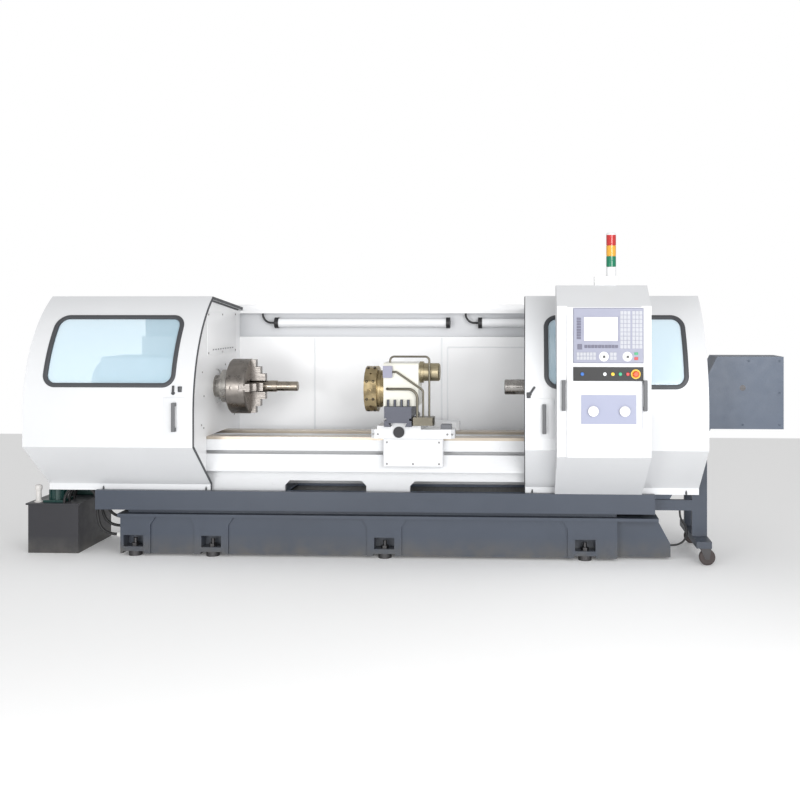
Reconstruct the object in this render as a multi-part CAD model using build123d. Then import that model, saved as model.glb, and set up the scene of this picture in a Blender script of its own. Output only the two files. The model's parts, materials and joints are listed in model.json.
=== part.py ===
from build123d import *
import math
import os

# Flat-bed turning lathe, in millimetres. +X runs from the headstock to the tailstock, +Y to the back,
# +Z up. The origin is on the floor, in the middle of the machine's footprint.

# Spindle: the face that carries the chuck, and the spindle axis
nose_x = -1235.0
axis_y = -85.0
axis_z = 1173.0

# Clearances that every fit uses
slide_gap = 0.4
running_gap = 0.05
seat_gap = 0.3
cut_overrun = 20.0

# A bend's share of the shorter run beside it
arc_share = 0.45

# Floor, base and tray
base_left_from_nose = -723.0
base_step_from_nose = 2730.0
base_right_from_nose = 3100.0
base_front_from_axis = -220.0
base_depth = 780.0
base_bottom_z = 18.0
base_top_z = 331.0
base_neck_height = 34.0
base_neck_setback = 42.0
base_flange_height = 22.0
base_flange_reach = 16.0
base_end_setback = 62.0
base_end_slope = 90.0
base_panel_depth = 12.0
base_panel_top_drop = 4.0
base_panel_gap = 120.0
base_panel_bevel = 34.0
base_panel_bevel_height = 52.0
pocket_offsets = (93.0, 644.0, 1854.0, 3236.0)
pocket_width = 140.0
pocket_height = 80.0
pocket_depth = 100.0
pocket_bottom_z = 66.0
notch_width = 150.0
notch_height = 16.0
foot_pad_radius = 46.0
foot_screw_radius = 13.0
foot_screw_top_z = 120.0
foot_nut_radius = 27.0
foot_nut_height = 20.0
foot_inset = 44.0
plinth_wall = 40.0

tray_left_from_nose = -884.0
tray_right_from_nose = 2982.0
tray_front_from_axis = -262.0
tray_back_from_axis = 640.0
tray_height = 124.0
tray_wall = 6.0
tray_rim_width = 96.0
tray_rim_height = 14.0

# Bed
bed_left_from_nose = -850.0
bed_right_from_nose = 2800.0
bed_half_width = 235.0
way_top_above_axis = -333.0
way_width = 112.0
way_height = 42.0
bed_flange_height = 95.0
front_wall_from_axis = -150.0
bed_wall = 32.0
channel_wall = 8.0
channel_front_from_axis = -235.0
channel_bottom_z = 600.0
channel_toe_z = 588.0
slit_top_drop = 96.0
slit_height = 24.0
web_height = 46.0
chip_opening_spans = ((1273.0, 573.0), (2152.0, 998.0))
chip_opening_height = 188.0
chip_opening_bevel = 34.0
chute_count = 5
chute_length_share = 0.62

# Rear guard
guard_left_from_nose = -876.0
guard_right_from_nose = 2850.0
guard_inner_from_axis = 570.0
guard_sheet = 6.0
guard_recess_depth = 72.0
guard_recess_bottom_z = 1510.0
guard_recess_top_z = 1696.0
guard_lip_top_z = 1760.0
guard_lip_from_axis = 612.0

# Hood doors: the outline from the skirt over the bulge to the roof
hood_skirt_from_axis = -197.0
hood_skirt_height = 45.0
hood_bulge_from_axis = -580.0
hood_bulge_low_z = 806.0
hood_bulge_high_z = 1030.0
hood_crest_from_axis = -151.0
hood_crest_z = 1814.0
hood_roof_back_from_axis = 604.0
hood_roof_drop = 74.0
hood_wall = 24.0
left_door_from_nose = -1238.0
left_door_width = 1147.0
right_door_from_nose = 2103.0
right_door_width = 1184.0
window_margin = 148.0
window_bottom_z = 1226.0
window_top_z = 1662.0
window_radius = 62.0
pane_thickness = 6.0
door_handle_length = 190.0
door_handle_width = 24.0
door_handle_bar = 14.0
door_handle_reach = 40.0
door_handle_z = 1010.0
door_handle_inset = 118.0
right_handle_inset = 124.0
handle_round_share = 0.4

# Headstock, spindle and belt drive
bulkhead_sheet = 6.0
bulkhead_gap = 5.0
head_left_from_nose = -858.0
head_right_from_nose = -112.0
head_half_width = 232.0
head_top_z = 1388.0
head_edge_radius = 26.0
head_foot_height = 60.0
head_waist = 24.0
shaft_radius = 78.0
shaft_bore_radius = 43.0
shaft_left_from_nose = -946.0
nose_flange_radius = 118.0
nose_flange_length = 58.0
pulley_from_nose = -926.0
pulley_width = 52.0
pulley_radius = 150.0
motor_pulley_radius = 95.0
motor_axis_from_axis = 402.0
motor_axis_above_axis = -150.0
motor_radius = 128.0
motor_length = 420.0
motor_shaft_radius = 24.0
motor_flange_thickness = 26.0
motor_fin_count = 20
motor_fin_depth = 10.0
belt_thickness = 9.0
belt_gap = 0.4
belt_cover_wall = 5.0
belt_cover_room = 26.0
belt_cover_left_from_nose = -964.0
belt_cover_radius = 40.0

# Chuck and bar
chuck_radius = 195.0
chuck_length = 140.0
chuck_back_radius = 150.0
chuck_back_length = 8.0
chuck_edge = 8.0
chuck_bore_radius = 62.0
jaw_width = 54.0
jaw_slot_depth = 44.0
jaw_key_width = 30.0
jaw_key_depth = 26.0
jaw_step_height = 34.0
jaw_step_count = 3
jaw_length = 150.0
jaw_tip_hollow = 0.2
key_socket_radius = 17.0
key_socket_depth = 12.0
bar_radius = 40.0
bar_start = 70.0
bar_end = 482.0
bar_step_radius = 34.0
bar_step_length = 150.0

# Screws and their drive
z_screw_from_axis = -192.0
z_screw_z = 662.0
z_screw_radius = 20.0
z_screw_left_from_nose = -150.0
z_screw_right_from_nose = 2700.0
z_block_length = 60.0
z_block_size = 66.0
z_motor_length = 190.0
z_motor_edge = 9.0
z_nut_radius = 33.0
x_screw_radius = 15.0

# Carriage, cross slide and turret
saddle_left_from_nose = 1051.0
saddle_right_from_nose = 1623.0
saddle_front_from_axis = -300.0
saddle_back_from_axis = 330.0
saddle_top_above_way = 87.0
saddle_wing_height = 62.0
saddle_wing_width = 150.0
oiler_length = 75.0
oiler_depth = 62.0
oiler_height = 34.0
oiler_inset = 22.0
oiler_edge = 5.0
cross_from_nose = 1244.0
bridge_width = 300.0
dovetail_width = 124.0
dovetail_height = 26.0
dovetail_slope_share = 0.55
x_channel_width = 58.0
x_channel_depth = 90.0
x_end_wall = 30.0
wing_chamfer_share = 0.4
x_screw_drop = 42.0
x_cap_radius = 38.0
x_cap_length = 14.0
x_motor_length = 170.0
x_motor_size = 120.0
x_motor_edge = 12.0
apron_left_from_nose = 1135.0
apron_width = 410.0
apron_bottom_z = 646.0
apron_gap = 9.0
apron_edge = 6.0
nut_length = 90.0
nut_web = 18.0
riser_left_from_nose = 1152.0
riser_width = 186.0
riser_front_from_axis = -372.0
riser_back_from_axis = -40.0
riser_top_above_axis = -109.0
riser_step = 16.0
riser_screw_radius = 9.0
riser_screw_height = 46.0
riser_screw_count = 4
riser_screw_inset = 24.0
x_nut_length = 60.0
x_nut_width = 46.0
x_nut_inset = 10.0
disc_from_axis = -205.0
disc_left_from_nose = 1010.0
disc_radius = 157.0
disc_length = 84.0
disc_waist_radius = 128.0
disc_waist_length = 22.0
disc_hub_radius = 60.0
disc_hub_length = 12.0
station_count = 8
station_radius = 20.0
station_circle_radius = 112.0
station_depth = 60.0
rim_hole_radius = 7.0
rim_hole_depth = 22.0
back_flange_radius = 121.0
turret_left_from_nose = 1141.0
turret_length = 238.0
turret_half_width = 118.0
turret_top_above_axis = 184.0
turret_edge_radius = 20.0
switch_box_length = 62.0
switch_box_height = 80.0
switch_box_depth = 30.0
turret_motor_radius = 62.0
turret_motor_length = 112.0
turret_motor_flange = 26.0
turret_motor_flange_radius = 74.0
turret_motor_above_axis = 116.0
can_edge_share = 0.15
pipe_radius = 7.0
hose_radius = 9.0
junction_width = 150.0
junction_depth = 70.0
junction_height = 56.0
junction_lift = 9.0
pipe_share = 0.75
diagonal_share = 0.5
low_share = 0.25

# Tailstock
tail_left_from_nose = 2110.0
tail_length = 450.0
tail_barrel_radius = 118.0
tail_base_height = 110.0
tail_neck_half_width = 105.0
quill_radius = 53.0
quill_out = 153.0
quill_length = 470.0
quill_taper_radius = 32.0
quill_taper_end_radius = 24.0
quill_taper_depth = 130.0
quill_edge = 5.0

# Lamps on the rear guard
lamp_radius = 35.0
lamp_length = 1360.0
lamp_starts = (166.0, 1742.0)
lamp_end_room = 60.0
lamp_z = 1619.0
lamp_cap_length = 30.0
lamp_cap_reach = 7.0
lamp_arm = 26.0
lead_radius = 8.0
lead_reach = 96.0
lead_share = 0.7

# Control cabinet
control_left_from_nose = 2304.0
control_width = 588.0
control_front_from_axis = -800.0
control_gap = 62.0
control_low_gap = 20.0
control_knee_z = 792.0
control_slope_z = 1732.0
control_top_z = 1876.0
control_top_front_from_axis = -560.0
control_top_back_from_axis = -400.0
control_front_margin = 62.0
control_front_lift = 14.0
control_wall = 26.0
track_height = 10.0
track_width = 40.0
panel_left_from_nose = 2404.0
panel_width = 436.0
panel_bottom_z = 1384.0
panel_height = 344.0
panel_thickness = 14.0
screen_left = 62.0
screen_width = 218.0
screen_bottom = 134.0
screen_height = 158.0
screen_depth = 4.0
strip_bottom_z = 1272.0
strip_height = 87.0
strip_thickness = 8.0
panel_edge_share = 0.3
button_edge_share = 0.15
stop_dome_share = 0.5
knob_edge_share = 0.12
dial_stem_share = 0.4
plate_left_from_nose = 2454.0
plate_width = 342.0
plate_bottom_z = 1003.0
plate_height = 181.0
plate_thickness = 6.0
button_z = 1315.5
button_radius = 11.0
button_length = 22.0
button_travel = 4.0
button_recess = 9.0
blue_from_nose = 2460.0
lamp_from_nose = 2600.0
yellow_from_nose = 2650.0
green_from_nose = 2696.5
red_from_nose = 2743.0
stop_from_nose = 2792.5
stop_radius = 20.0
stop_stem_radius = 12.0
stop_cap_length = 17.0
stop_ring_radius = 30.0
stop_ring_thickness = 2.0
dial_z = 1425.0
dial_radius = 21.0
dial_length = 20.0
dial_stem_radius = 6.0
dial_stem_length = 10.0
feed_dial_from_nose = 2594.0
speed_dial_from_nose = 2740.0
wheel_z = 1084.0
wheel_radius = 33.0
wheel_length = 24.0
x_wheel_from_nose = 2528.5
z_wheel_from_nose = 2724.0
crank_radius = 5.0
crank_length = 16.0
crank_share = 0.66
control_handle_z = 1181.0
control_handle_inset = 40.0
tower_from_nose = 2667.0
tower_radius = 32.0
tower_segment = 70.0
tower_segment_count = 3
tower_base_height = 62.0
tower_cap_height = 14.0
tower_groove_share = 0.9
tower_bracket = 78.0
tower_bracket_height = 60.0

# Coolant tank, pump and hoses
tank_left_from_nose = -1409.0
tank_width = 362.0
tank_front_from_axis = -165.0
tank_depth = 560.0
tank_height = 352.0
tank_wall = 5.0
tank_lid_reach = 12.0
pump_from_nose = -1240.0
pump_from_axis = -60.0
pump_radius = 62.0
pump_height = 84.0
pump_base = 150.0
pump_base_height = 16.0
pump_fin_count = 12
pump_fin_depth = 6.0
gland_radius = 26.0
gland_tip_radius = 17.0
gland_length = 46.0
gland_heights = (136.0, 180.0, 224.0)
gland_behind_base_front = 70.0
drain_hose_radius = 10.0
hose_rise = 52.0
hose_run = 100.0
hose_end_run = 74.0

# Electrical cabinet behind the guard
ecab_left_from_nose = 560.0
ecab_width = 1800.0
ecab_depth = 320.0
ecab_bottom_z = 100.0
ecab_top_z = 1700.0
ecab_plinth_inset = 40.0
ecab_door_gap = 6.0
ecab_door_depth = 12.0
ecab_edge = 10.0
ecab_wall = 14.0
louvre_count = 8
louvre_pitch = 34.0
louvre_width = 320.0
louvre_height = 12.0
switch_knob_radius = 34.0
switch_knob_length = 28.0

# Chip conveyor
conveyor_from_axis = 38.0
conveyor_width = 300.0
conveyor_sheet = 5.0
conveyor_left_from_nose = 330.0
trough_bottom_z = 338.0
trough_height = 110.0
incline_foot_from_nose = 3060.0
incline_angle = 60.0
incline_thickness = 202.0
head_box_right_from_nose = 3879.0
head_box_bottom_z = 896.0
head_box_top_z = 1395.0
head_box_bevel = 70.0
outlet_left_from_nose = 3640.0
outlet_margin = 30.0
belt_run_gap = 78.0
chain_thickness = 10.0
drive_axis_from_nose = 3600.0
drive_axis_z = 1180.0
drive_shaft_radius = 20.0
sprocket_radius = belt_run_gap / 2 - chain_thickness - seat_gap
sprocket_width = 18.0
gearbox_length = 120.0
gearbox_size = 150.0
gearbox_edge_share = 0.12
stand_left_from_nose = 3249.0
stand_width = 102.0
stand_plate = 34.0
stand_foot_height = 44.0
stand_foot_front_from_axis = -330.0
stand_foot_back_from_axis = 410.0
tie_height = 72.0
caster_wheel_radius = 54.0
caster_wheel_width = 34.0
caster_offset = 26.0
caster_fork_plate = 6.0
caster_fork_clear = 12.0
caster_axle_radius = 7.0
caster_stem_radius = 12.0
caster_stem_length = 26.0
caster_inset = 46.0
cable_radius = 7.0
cable_start_run = 58.0
cable_run = 75.0
cable_end_run = 62.0
cable_sway_angle = 40.0
tread_share = 0.2

# Places along, across and above, from the spindle's nose and axis
base_left_x = nose_x + base_left_from_nose
base_step_x = nose_x + base_step_from_nose
base_right_x = nose_x + base_right_from_nose
base_front_y = axis_y + base_front_from_axis
tray_left_x = nose_x + tray_left_from_nose
tray_right_x = nose_x + tray_right_from_nose
tray_front_y = axis_y + tray_front_from_axis
tray_back_y = axis_y + tray_back_from_axis
bed_left_x = nose_x + bed_left_from_nose
bed_right_x = nose_x + bed_right_from_nose
way_top_z = axis_z + way_top_above_axis
front_wall_y = axis_y + front_wall_from_axis
channel_front_y = axis_y + channel_front_from_axis
guard_left_x = nose_x + guard_left_from_nose
guard_right_x = nose_x + guard_right_from_nose
guard_inner_y = axis_y + guard_inner_from_axis
guard_lip_y = axis_y + guard_lip_from_axis
hood_skirt_y = axis_y + hood_skirt_from_axis
hood_bulge_y = axis_y + hood_bulge_from_axis
hood_crest_y = axis_y + hood_crest_from_axis
hood_roof_back_y = axis_y + hood_roof_back_from_axis
left_door_x = nose_x + left_door_from_nose
right_door_x = nose_x + right_door_from_nose
head_left_x = nose_x + head_left_from_nose
head_right_x = nose_x + head_right_from_nose
shaft_left_x = nose_x + shaft_left_from_nose
pulley_x = nose_x + pulley_from_nose
motor_axis_y = axis_y + motor_axis_from_axis
motor_axis_z = axis_z + motor_axis_above_axis
belt_cover_left_x = nose_x + belt_cover_left_from_nose
z_screw_y = axis_y + z_screw_from_axis
z_screw_left_x = nose_x + z_screw_left_from_nose
z_screw_right_x = nose_x + z_screw_right_from_nose
saddle_left_x = nose_x + saddle_left_from_nose
saddle_right_x = nose_x + saddle_right_from_nose
saddle_front_y = axis_y + saddle_front_from_axis
saddle_back_y = axis_y + saddle_back_from_axis
saddle_top_z = way_top_z + saddle_top_above_way
cross_x = nose_x + cross_from_nose
apron_left_x = nose_x + apron_left_from_nose
riser_left_x = nose_x + riser_left_from_nose
riser_front_y = axis_y + riser_front_from_axis
riser_back_y = axis_y + riser_back_from_axis
riser_top_z = axis_z + riser_top_above_axis
disc_y = axis_y + disc_from_axis
disc_left_x = nose_x + disc_left_from_nose
turret_left_x = nose_x + turret_left_from_nose
turret_top_z = axis_z + turret_top_above_axis
turret_motor_z = axis_z + turret_motor_above_axis
tail_left_x = nose_x + tail_left_from_nose
control_left_x = nose_x + control_left_from_nose
control_front_y = axis_y + control_front_from_axis
control_top_front_y = axis_y + control_top_front_from_axis
control_top_back_y = axis_y + control_top_back_from_axis
panel_left_x = nose_x + panel_left_from_nose
plate_left_x = nose_x + plate_left_from_nose
blue_x = nose_x + blue_from_nose
lamp_x = nose_x + lamp_from_nose
yellow_x = nose_x + yellow_from_nose
green_x = nose_x + green_from_nose
red_x = nose_x + red_from_nose
stop_x = nose_x + stop_from_nose
feed_dial_x = nose_x + feed_dial_from_nose
speed_dial_x = nose_x + speed_dial_from_nose
x_wheel_x = nose_x + x_wheel_from_nose
z_wheel_x = nose_x + z_wheel_from_nose
tower_x = nose_x + tower_from_nose
tank_left_x = nose_x + tank_left_from_nose
tank_front_y = axis_y + tank_front_from_axis
pump_x = nose_x + pump_from_nose
pump_y = axis_y + pump_from_axis
gland_y = base_front_y + gland_behind_base_front
ecab_left_x = nose_x + ecab_left_from_nose
conveyor_y = axis_y + conveyor_from_axis
conveyor_left_x = nose_x + conveyor_left_from_nose
incline_foot_x = nose_x + incline_foot_from_nose
head_box_right_x = nose_x + head_box_right_from_nose
outlet_left_x = nose_x + outlet_left_from_nose
drive_axis_x = nose_x + drive_axis_from_nose
stand_left_x = nose_x + stand_left_from_nose
stand_foot_front_y = axis_y + stand_foot_front_from_axis
stand_foot_back_y = axis_y + stand_foot_back_from_axis

# Heights and places that follow from the sizes above
tray_floor_z = base_top_z + tray_wall
tray_top_z = base_top_z + tray_height
skirt_bottom_z = tray_top_z + seat_gap
hood_bottom_z = skirt_bottom_z - cut_overrun - hood_wall
roof_slope = hood_roof_drop / (hood_roof_back_y - hood_crest_y)
rail_top_z = hood_crest_z - hood_roof_drop - hood_wall * math.hypot(1, roof_slope) - seat_gap
bulkhead_x = head_right_x
flange_bottom_z = way_top_z - bed_flange_height
panel_top_z = way_top_z - slit_top_drop - slit_height
web_bottom_z = way_top_z - way_height - web_height
saddle_bottom_z = way_top_z + slide_gap
dovetail_top_z = saddle_top_z + dovetail_height
x_screw_z = saddle_top_z - x_screw_drop
control_bottom_z = tray_top_z + track_height + seat_gap
jaw_inner = bar_radius + seat_gap - jaw_tip_hollow
caster_top_z = caster_wheel_radius * 2 + caster_fork_clear
caster_x = stand_left_x + stand_width / 2
chuck_face_x = nose_x + chuck_back_length + chuck_length
disc_right_x = disc_left_x + disc_length + disc_waist_length
base_back_y = base_front_y + base_depth
conveyor_front_y = conveyor_y - conveyor_width / 2
conveyor_back_y = conveyor_y + conveyor_width / 2
ecab_front_y = guard_inner_y + guard_recess_depth + guard_sheet


def block(x0, x1, y0, y1, z0, z1):
    """A block between two corners."""
    return Pos(x0, y0, z0) * Box(x1 - x0, y1 - y0, z1 - z0, align=(Align.MIN, Align.MIN, Align.MIN))


def rod(direction, x, y, z, radius, length):
    """A round bar that starts at a point and runs along x, front (towards -y), back or up."""
    turns = {"x": (0, 90, 0), "front": (90, 0, 0), "back": (-90, 0, 0), "up": (0, 0, 0)}
    bar = Cylinder(radius, length, align=(Align.CENTER, Align.CENTER, Align.MIN))
    return Pos(x, y, z) * Rot(*turns[direction]) * bar


def prism_x(face, x0, x1):
    """A face drawn in Y and Z, carried along X."""
    return extrude(Plane.YZ.offset(x0) * face, amount=x1 - x0, dir=(1, 0, 0))


def prism_y(face, y0, y1):
    """A face drawn in X and Z, carried along Y."""
    return extrude(Plane.XZ.offset(-y1) * face, amount=y1 - y0, dir=(0, -1, 0))


def outline(*points):
    """A face with straight sides."""
    return Polygon(*points, align=None)


def tube(points, radii, radius):
    """A round hose or pipe along straight runs joined by tangent arcs."""
    path = FilletPolyline(*points, radius=radii)
    return sweep(Plane(path @ 0, z_dir=path % 0) * Circle(radius), path=path)


def bent_hose(name, x, y, z, steps, radius):
    """A hose from a point through (heading in degrees, run) steps, with arcs as large as the runs allow."""
    points = [(x, y, z)]
    for heading, run in steps:
        x += run * math.cos(math.radians(heading))
        z += run * math.sin(math.radians(heading))
        points.append((x, y, z))
    arcs = []
    for (heading, run), (after, next_run) in zip(steps, steps[1:]):
        half_turn = math.radians(abs(after - heading) / 2)
        arcs.append(arc_share * min(run, next_run) / math.tan(half_turn))
    print(name, "arc radii", [round(arc) for arc in arcs])
    return tube(points, arcs, radius)


def hood_face(grow):
    """The hood's closed side outline, grown outwards (or inwards where negative)."""
    back_y = hood_roof_back_y + hood_wall + cut_overrun
    back_z = hood_crest_z - roof_slope * (back_y - hood_crest_y)
    skirt = (hood_skirt_y, hood_bottom_z)
    bulge_high = (hood_bulge_y, hood_bulge_high_z)
    crest = (hood_crest_y, hood_crest_z)
    front = Polyline(
        skirt,
        (hood_skirt_y, skirt_bottom_z + hood_skirt_height),
        (hood_bulge_y, hood_bulge_low_z),
        bulge_high,
    )
    curve = TangentArc(bulge_high, crest, tangent=(0, 1))
    rest = Polyline(crest, (back_y, back_z), (back_y, hood_bottom_z), skirt)
    face = make_face([*front.edges(), *curve.edges(), *rest.edges()])
    if grow == 0:
        return face
    return offset(face, amount=grow, kind=Kind.INTERSECTION)


def base_plinth():
    """Cast base: flanged top, panelled front, foot pockets and a sloped right end, hollow below."""
    neck_z = base_top_z - base_neck_height
    flange_z = neck_z - base_flange_height
    main = block(base_left_x, base_step_x, base_front_y, base_back_y, base_bottom_z, flange_z)
    flange = block(
        base_left_x - base_flange_reach,
        base_right_x - base_end_slope,
        base_front_y - base_flange_reach,
        base_back_y,
        flange_z,
        neck_z,
    )
    neck = block(
        base_left_x + base_neck_setback,
        base_step_x,
        base_front_y + base_neck_setback,
        base_back_y - base_neck_setback,
        neck_z,
        base_top_z,
    )
    end = prism_y(
        outline(
            (base_step_x, base_bottom_z),
            (base_right_x, base_bottom_z),
            (base_right_x, base_bottom_z + base_end_slope),
            (base_right_x - base_end_slope, flange_z),
            (base_step_x, flange_z),
        ),
        base_front_y + base_end_setback,
        base_back_y - base_end_setback,
    )
    body = main + flange + neck + end
    for left, right in zip(pocket_offsets, pocket_offsets[1:]):
        x0 = base_left_x + left + base_panel_gap
        x1 = base_left_x + right - base_panel_gap
        panel_z = flange_z - base_panel_top_drop
        bevel_z = panel_z - base_panel_bevel_height
        panel = prism_y(
            outline(
                (x0, 0),
                (x0, bevel_z),
                (x0 + base_panel_bevel, panel_z),
                (x1 - base_panel_bevel, panel_z),
                (x1, bevel_z),
                (x1, 0),
            ),
            base_front_y - cut_overrun,
            base_front_y + base_panel_depth,
        )
        body -= panel
    for near in (base_front_y, base_back_y):
        inward = pocket_depth if near == base_front_y else -pocket_depth
        y0, y1 = sorted((near - math.copysign(cut_overrun, inward), near + inward))
        for across in pocket_offsets:
            x = base_left_x + across
            half = pocket_width / 2
            body -= block(x - half, x + half, y0, y1, pocket_bottom_z, pocket_bottom_z + pocket_height)
            half = notch_width / 2
            body -= block(x - half, x + half, y0, y1, 0, base_bottom_z + notch_height)
            foot_y = near + math.copysign(foot_inset, inward)
            body -= rod("up", x, foot_y, 0, foot_screw_radius + seat_gap, pocket_bottom_z + cut_overrun)
    cores = len(pocket_offsets)
    pitch = (base_step_x - base_left_x - plinth_wall) / cores
    inset = plinth_wall + pocket_depth
    for index in range(cores):
        x0 = base_left_x + plinth_wall + index * pitch
        body -= block(
            x0, x0 + pitch - plinth_wall, base_front_y + inset, base_back_y - inset, 0,
            flange_z - plinth_wall,
        )
    return body


def levelling_feet():
    """Screw feet: a domed pad on the floor, a screw through the pocket floor and its lock nut."""
    feet = []
    for across in pocket_offsets:
        for y in (base_front_y + foot_inset, base_back_y - foot_inset):
            x = base_left_x + across
            pad = rod("up", x, y, 0, foot_pad_radius, base_bottom_z + notch_height)
            screw = rod("up", x, y, 0, foot_screw_radius, foot_screw_top_z)
            nut = Pos(x, y, pocket_bottom_z) * extrude(RegularPolygon(foot_nut_radius, 6), foot_nut_height)
            feet.append(pad + screw + nut)
    return Compound(children=feet)


def chip_tray():
    """Sheet tray: floor, walls, a rolled rim that carries the doors, and the control's track."""
    outer = block(tray_left_x, tray_right_x, tray_front_y, tray_back_y, base_top_z, tray_top_z)
    inner = block(
        tray_left_x + tray_wall,
        tray_right_x - tray_wall,
        tray_front_y + tray_wall,
        tray_back_y - tray_wall,
        tray_floor_z,
        tray_top_z + cut_overrun,
    )
    rim_z = tray_top_z - tray_rim_height
    rim = block(tray_left_x, tray_right_x, tray_front_y, tray_front_y + tray_rim_width, rim_z, tray_top_z)
    track = block(
        tray_left_x, tray_right_x, tray_front_y, tray_front_y + track_width,
        tray_top_z, tray_top_z + track_height,
    )
    gate = block(
        tray_right_x - tray_wall - cut_overrun,
        tray_right_x + cut_overrun,
        conveyor_front_y - seat_gap,
        conveyor_back_y + seat_gap,
        tray_floor_z,
        tray_top_z + cut_overrun,
    )
    return outer - inner + rim + track - gate


def bed_casting():
    """Bed section: two ways on a flange, a screw channel in front and a tunnel for the conveyor below."""
    low_y = axis_y - bed_half_width
    high_y = axis_y + bed_half_width
    gutter_z = way_top_z - way_height
    toe_rise = (channel_bottom_z - channel_toe_z) / 2
    section = outline(
        (front_wall_y, tray_floor_z),
        (front_wall_y, channel_toe_z),
        (channel_front_y, channel_bottom_z),
        (channel_front_y, panel_top_z),
        (channel_front_y + channel_wall, panel_top_z),
        (channel_front_y + channel_wall, channel_bottom_z + channel_wall),
        (front_wall_y, channel_toe_z + toe_rise),
        (front_wall_y, flange_bottom_z),
        (low_y, flange_bottom_z),
        (low_y, way_top_z),
        (low_y + way_width, way_top_z),
        (low_y + way_width, gutter_z),
        (high_y - way_width, gutter_z),
        (high_y - way_width, way_top_z),
        (high_y, way_top_z),
        (high_y, tray_floor_z),
        (high_y - bed_wall, tray_floor_z),
        (high_y - bed_wall, web_bottom_z),
        (front_wall_y + bed_wall, web_bottom_z),
        (front_wall_y + bed_wall, tray_floor_z),
    )
    bed = prism_x(section, bed_left_x, bed_right_x)
    for start, width in chip_opening_spans:
        x0 = bed_left_x + start
        top_z = tray_floor_z + chip_opening_height
        shape = outline(
            (x0, tray_floor_z),
            (x0, top_z - chip_opening_bevel),
            (x0 + chip_opening_bevel, top_z),
            (x0 + width - chip_opening_bevel, top_z),
            (x0 + width, top_z - chip_opening_bevel),
            (x0 + width, tray_floor_z),
        )
        bed -= prism_y(shape, front_wall_y - cut_overrun, front_wall_y + bed_wall + cut_overrun)
    pitch = (bed_right_x - nose_x) / chute_count
    for index in range(chute_count):
        x0 = nose_x + index * pitch
        bed -= block(
            x0,
            x0 + pitch * chute_length_share,
            front_wall_y + bed_wall,
            high_y - way_width,
            web_bottom_z - cut_overrun,
            gutter_z + cut_overrun,
        )
    return bed


def end_wall_face(low_z):
    """The hood's inside outline with its running gap, from a height upwards, for the walls across it."""
    inside = hood_face(-hood_wall - bulkhead_gap)
    keep = outline(
        (hood_bulge_y, low_z), (guard_inner_y, low_z), (
            guard_inner_y, rail_top_z,
        ), (hood_bulge_y, rail_top_z)
    )
    return inside & keep


def rear_guard():
    """Folded guard: back wall, lamp recess, top rail with its lip, and the right end wall."""
    half = guard_sheet / 2
    wall_y = guard_inner_y + half
    deep_y = wall_y + guard_recess_depth
    path = Polyline(
        (wall_y, tray_floor_z),
        (wall_y, guard_recess_bottom_z),
        (deep_y, guard_recess_bottom_z),
        (deep_y, guard_recess_top_z),
        (wall_y, guard_recess_top_z),
        (wall_y, rail_top_z - half),
        (guard_lip_y + half, rail_top_z - half),
        (guard_lip_y + half, guard_lip_top_z),
    )
    guard = prism_x(trace(path, line_width=guard_sheet), guard_left_x, guard_right_x)
    end = prism_x(end_wall_face(tray_top_z + seat_gap), guard_right_x - guard_sheet, guard_right_x)
    return guard + end


def lamp(start, length):
    """A tube lamp with round end clamps on arms from the recess wall, and its short lead."""
    x0 = nose_x + start
    lamp_y = guard_inner_y + lamp_cap_reach + lamp_arm / 2
    tube_part = rod("x", x0, lamp_y, lamp_z, lamp_radius, length)
    wall_y = guard_inner_y + guard_recess_depth
    for x in (x0, x0 + length - lamp_cap_length):
        tube_part += rod("x", x, lamp_y, lamp_z, lamp_radius + lamp_cap_reach, lamp_cap_length)
        tube_part += block(
            x, x + lamp_cap_length, lamp_y, wall_y, lamp_z - lamp_arm / 2, lamp_z + lamp_arm / 2
        )
    top_z = guard_recess_top_z - guard_sheet / 2
    bend = lead_reach * lead_share
    lead = tube(
        [
            (x0, lamp_y, lamp_z),
            (x0 - lead_reach, lamp_y, lamp_z),
            (x0 - lead_reach, lamp_y, top_z),
        ],
        bend,
        lead_radius,
    )
    return tube_part + lead


def work_lamps():
    """The two tube lamps in the guard's recess."""
    right_length = guard_right_x - guard_sheet - nose_x - lamp_starts[1] - lamp_end_room
    return Compound(children=[lamp(lamp_starts[0], lamp_length), lamp(lamp_starts[1], right_length)])


def headstock_casting():
    """Headstock: a box with rounded top edges, a sloped foot on the ways and the spindle bore."""
    low_y = axis_y - head_half_width
    high_y = axis_y + head_half_width
    body = block(head_left_x, head_right_x, low_y, high_y, way_top_z, head_top_z)
    body = fillet(body.edges().filter_by(Axis.X).group_by(Axis.Z)[-1], head_edge_radius)
    foot = block(head_left_x, head_right_x, low_y, high_y, way_top_z, way_top_z + head_foot_height)
    waist = block(
        head_left_x - cut_overrun,
        head_right_x + cut_overrun,
        low_y - cut_overrun,
        low_y + head_waist,
        way_top_z + head_foot_height,
        axis_z - head_foot_height,
    )
    body = body - waist + foot
    bore = rod(
        "x", head_left_x - cut_overrun, axis_y, axis_z, shaft_radius + running_gap,
        head_right_x - head_left_x + cut_overrun * 2,
    )
    return body - bore


def headstock_bulkhead():
    """Sheet wall behind the chuck, cut round the bed and the spindle nose."""
    wall = prism_x(end_wall_face(tray_top_z + seat_gap), bulkhead_x, bulkhead_x + bulkhead_sheet)
    bed_hole = block(
        bulkhead_x - cut_overrun,
        bulkhead_x + bulkhead_sheet + cut_overrun,
        channel_front_y - bulkhead_gap,
        axis_y + bed_half_width + bulkhead_gap,
        0,
        way_top_z + seat_gap,
    )
    nose_hole = rod(
        "x", bulkhead_x - cut_overrun, axis_y, axis_z, nose_flange_radius + bulkhead_gap, cut_overrun * 3
    )
    return wall - bed_hole - nose_hole


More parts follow.
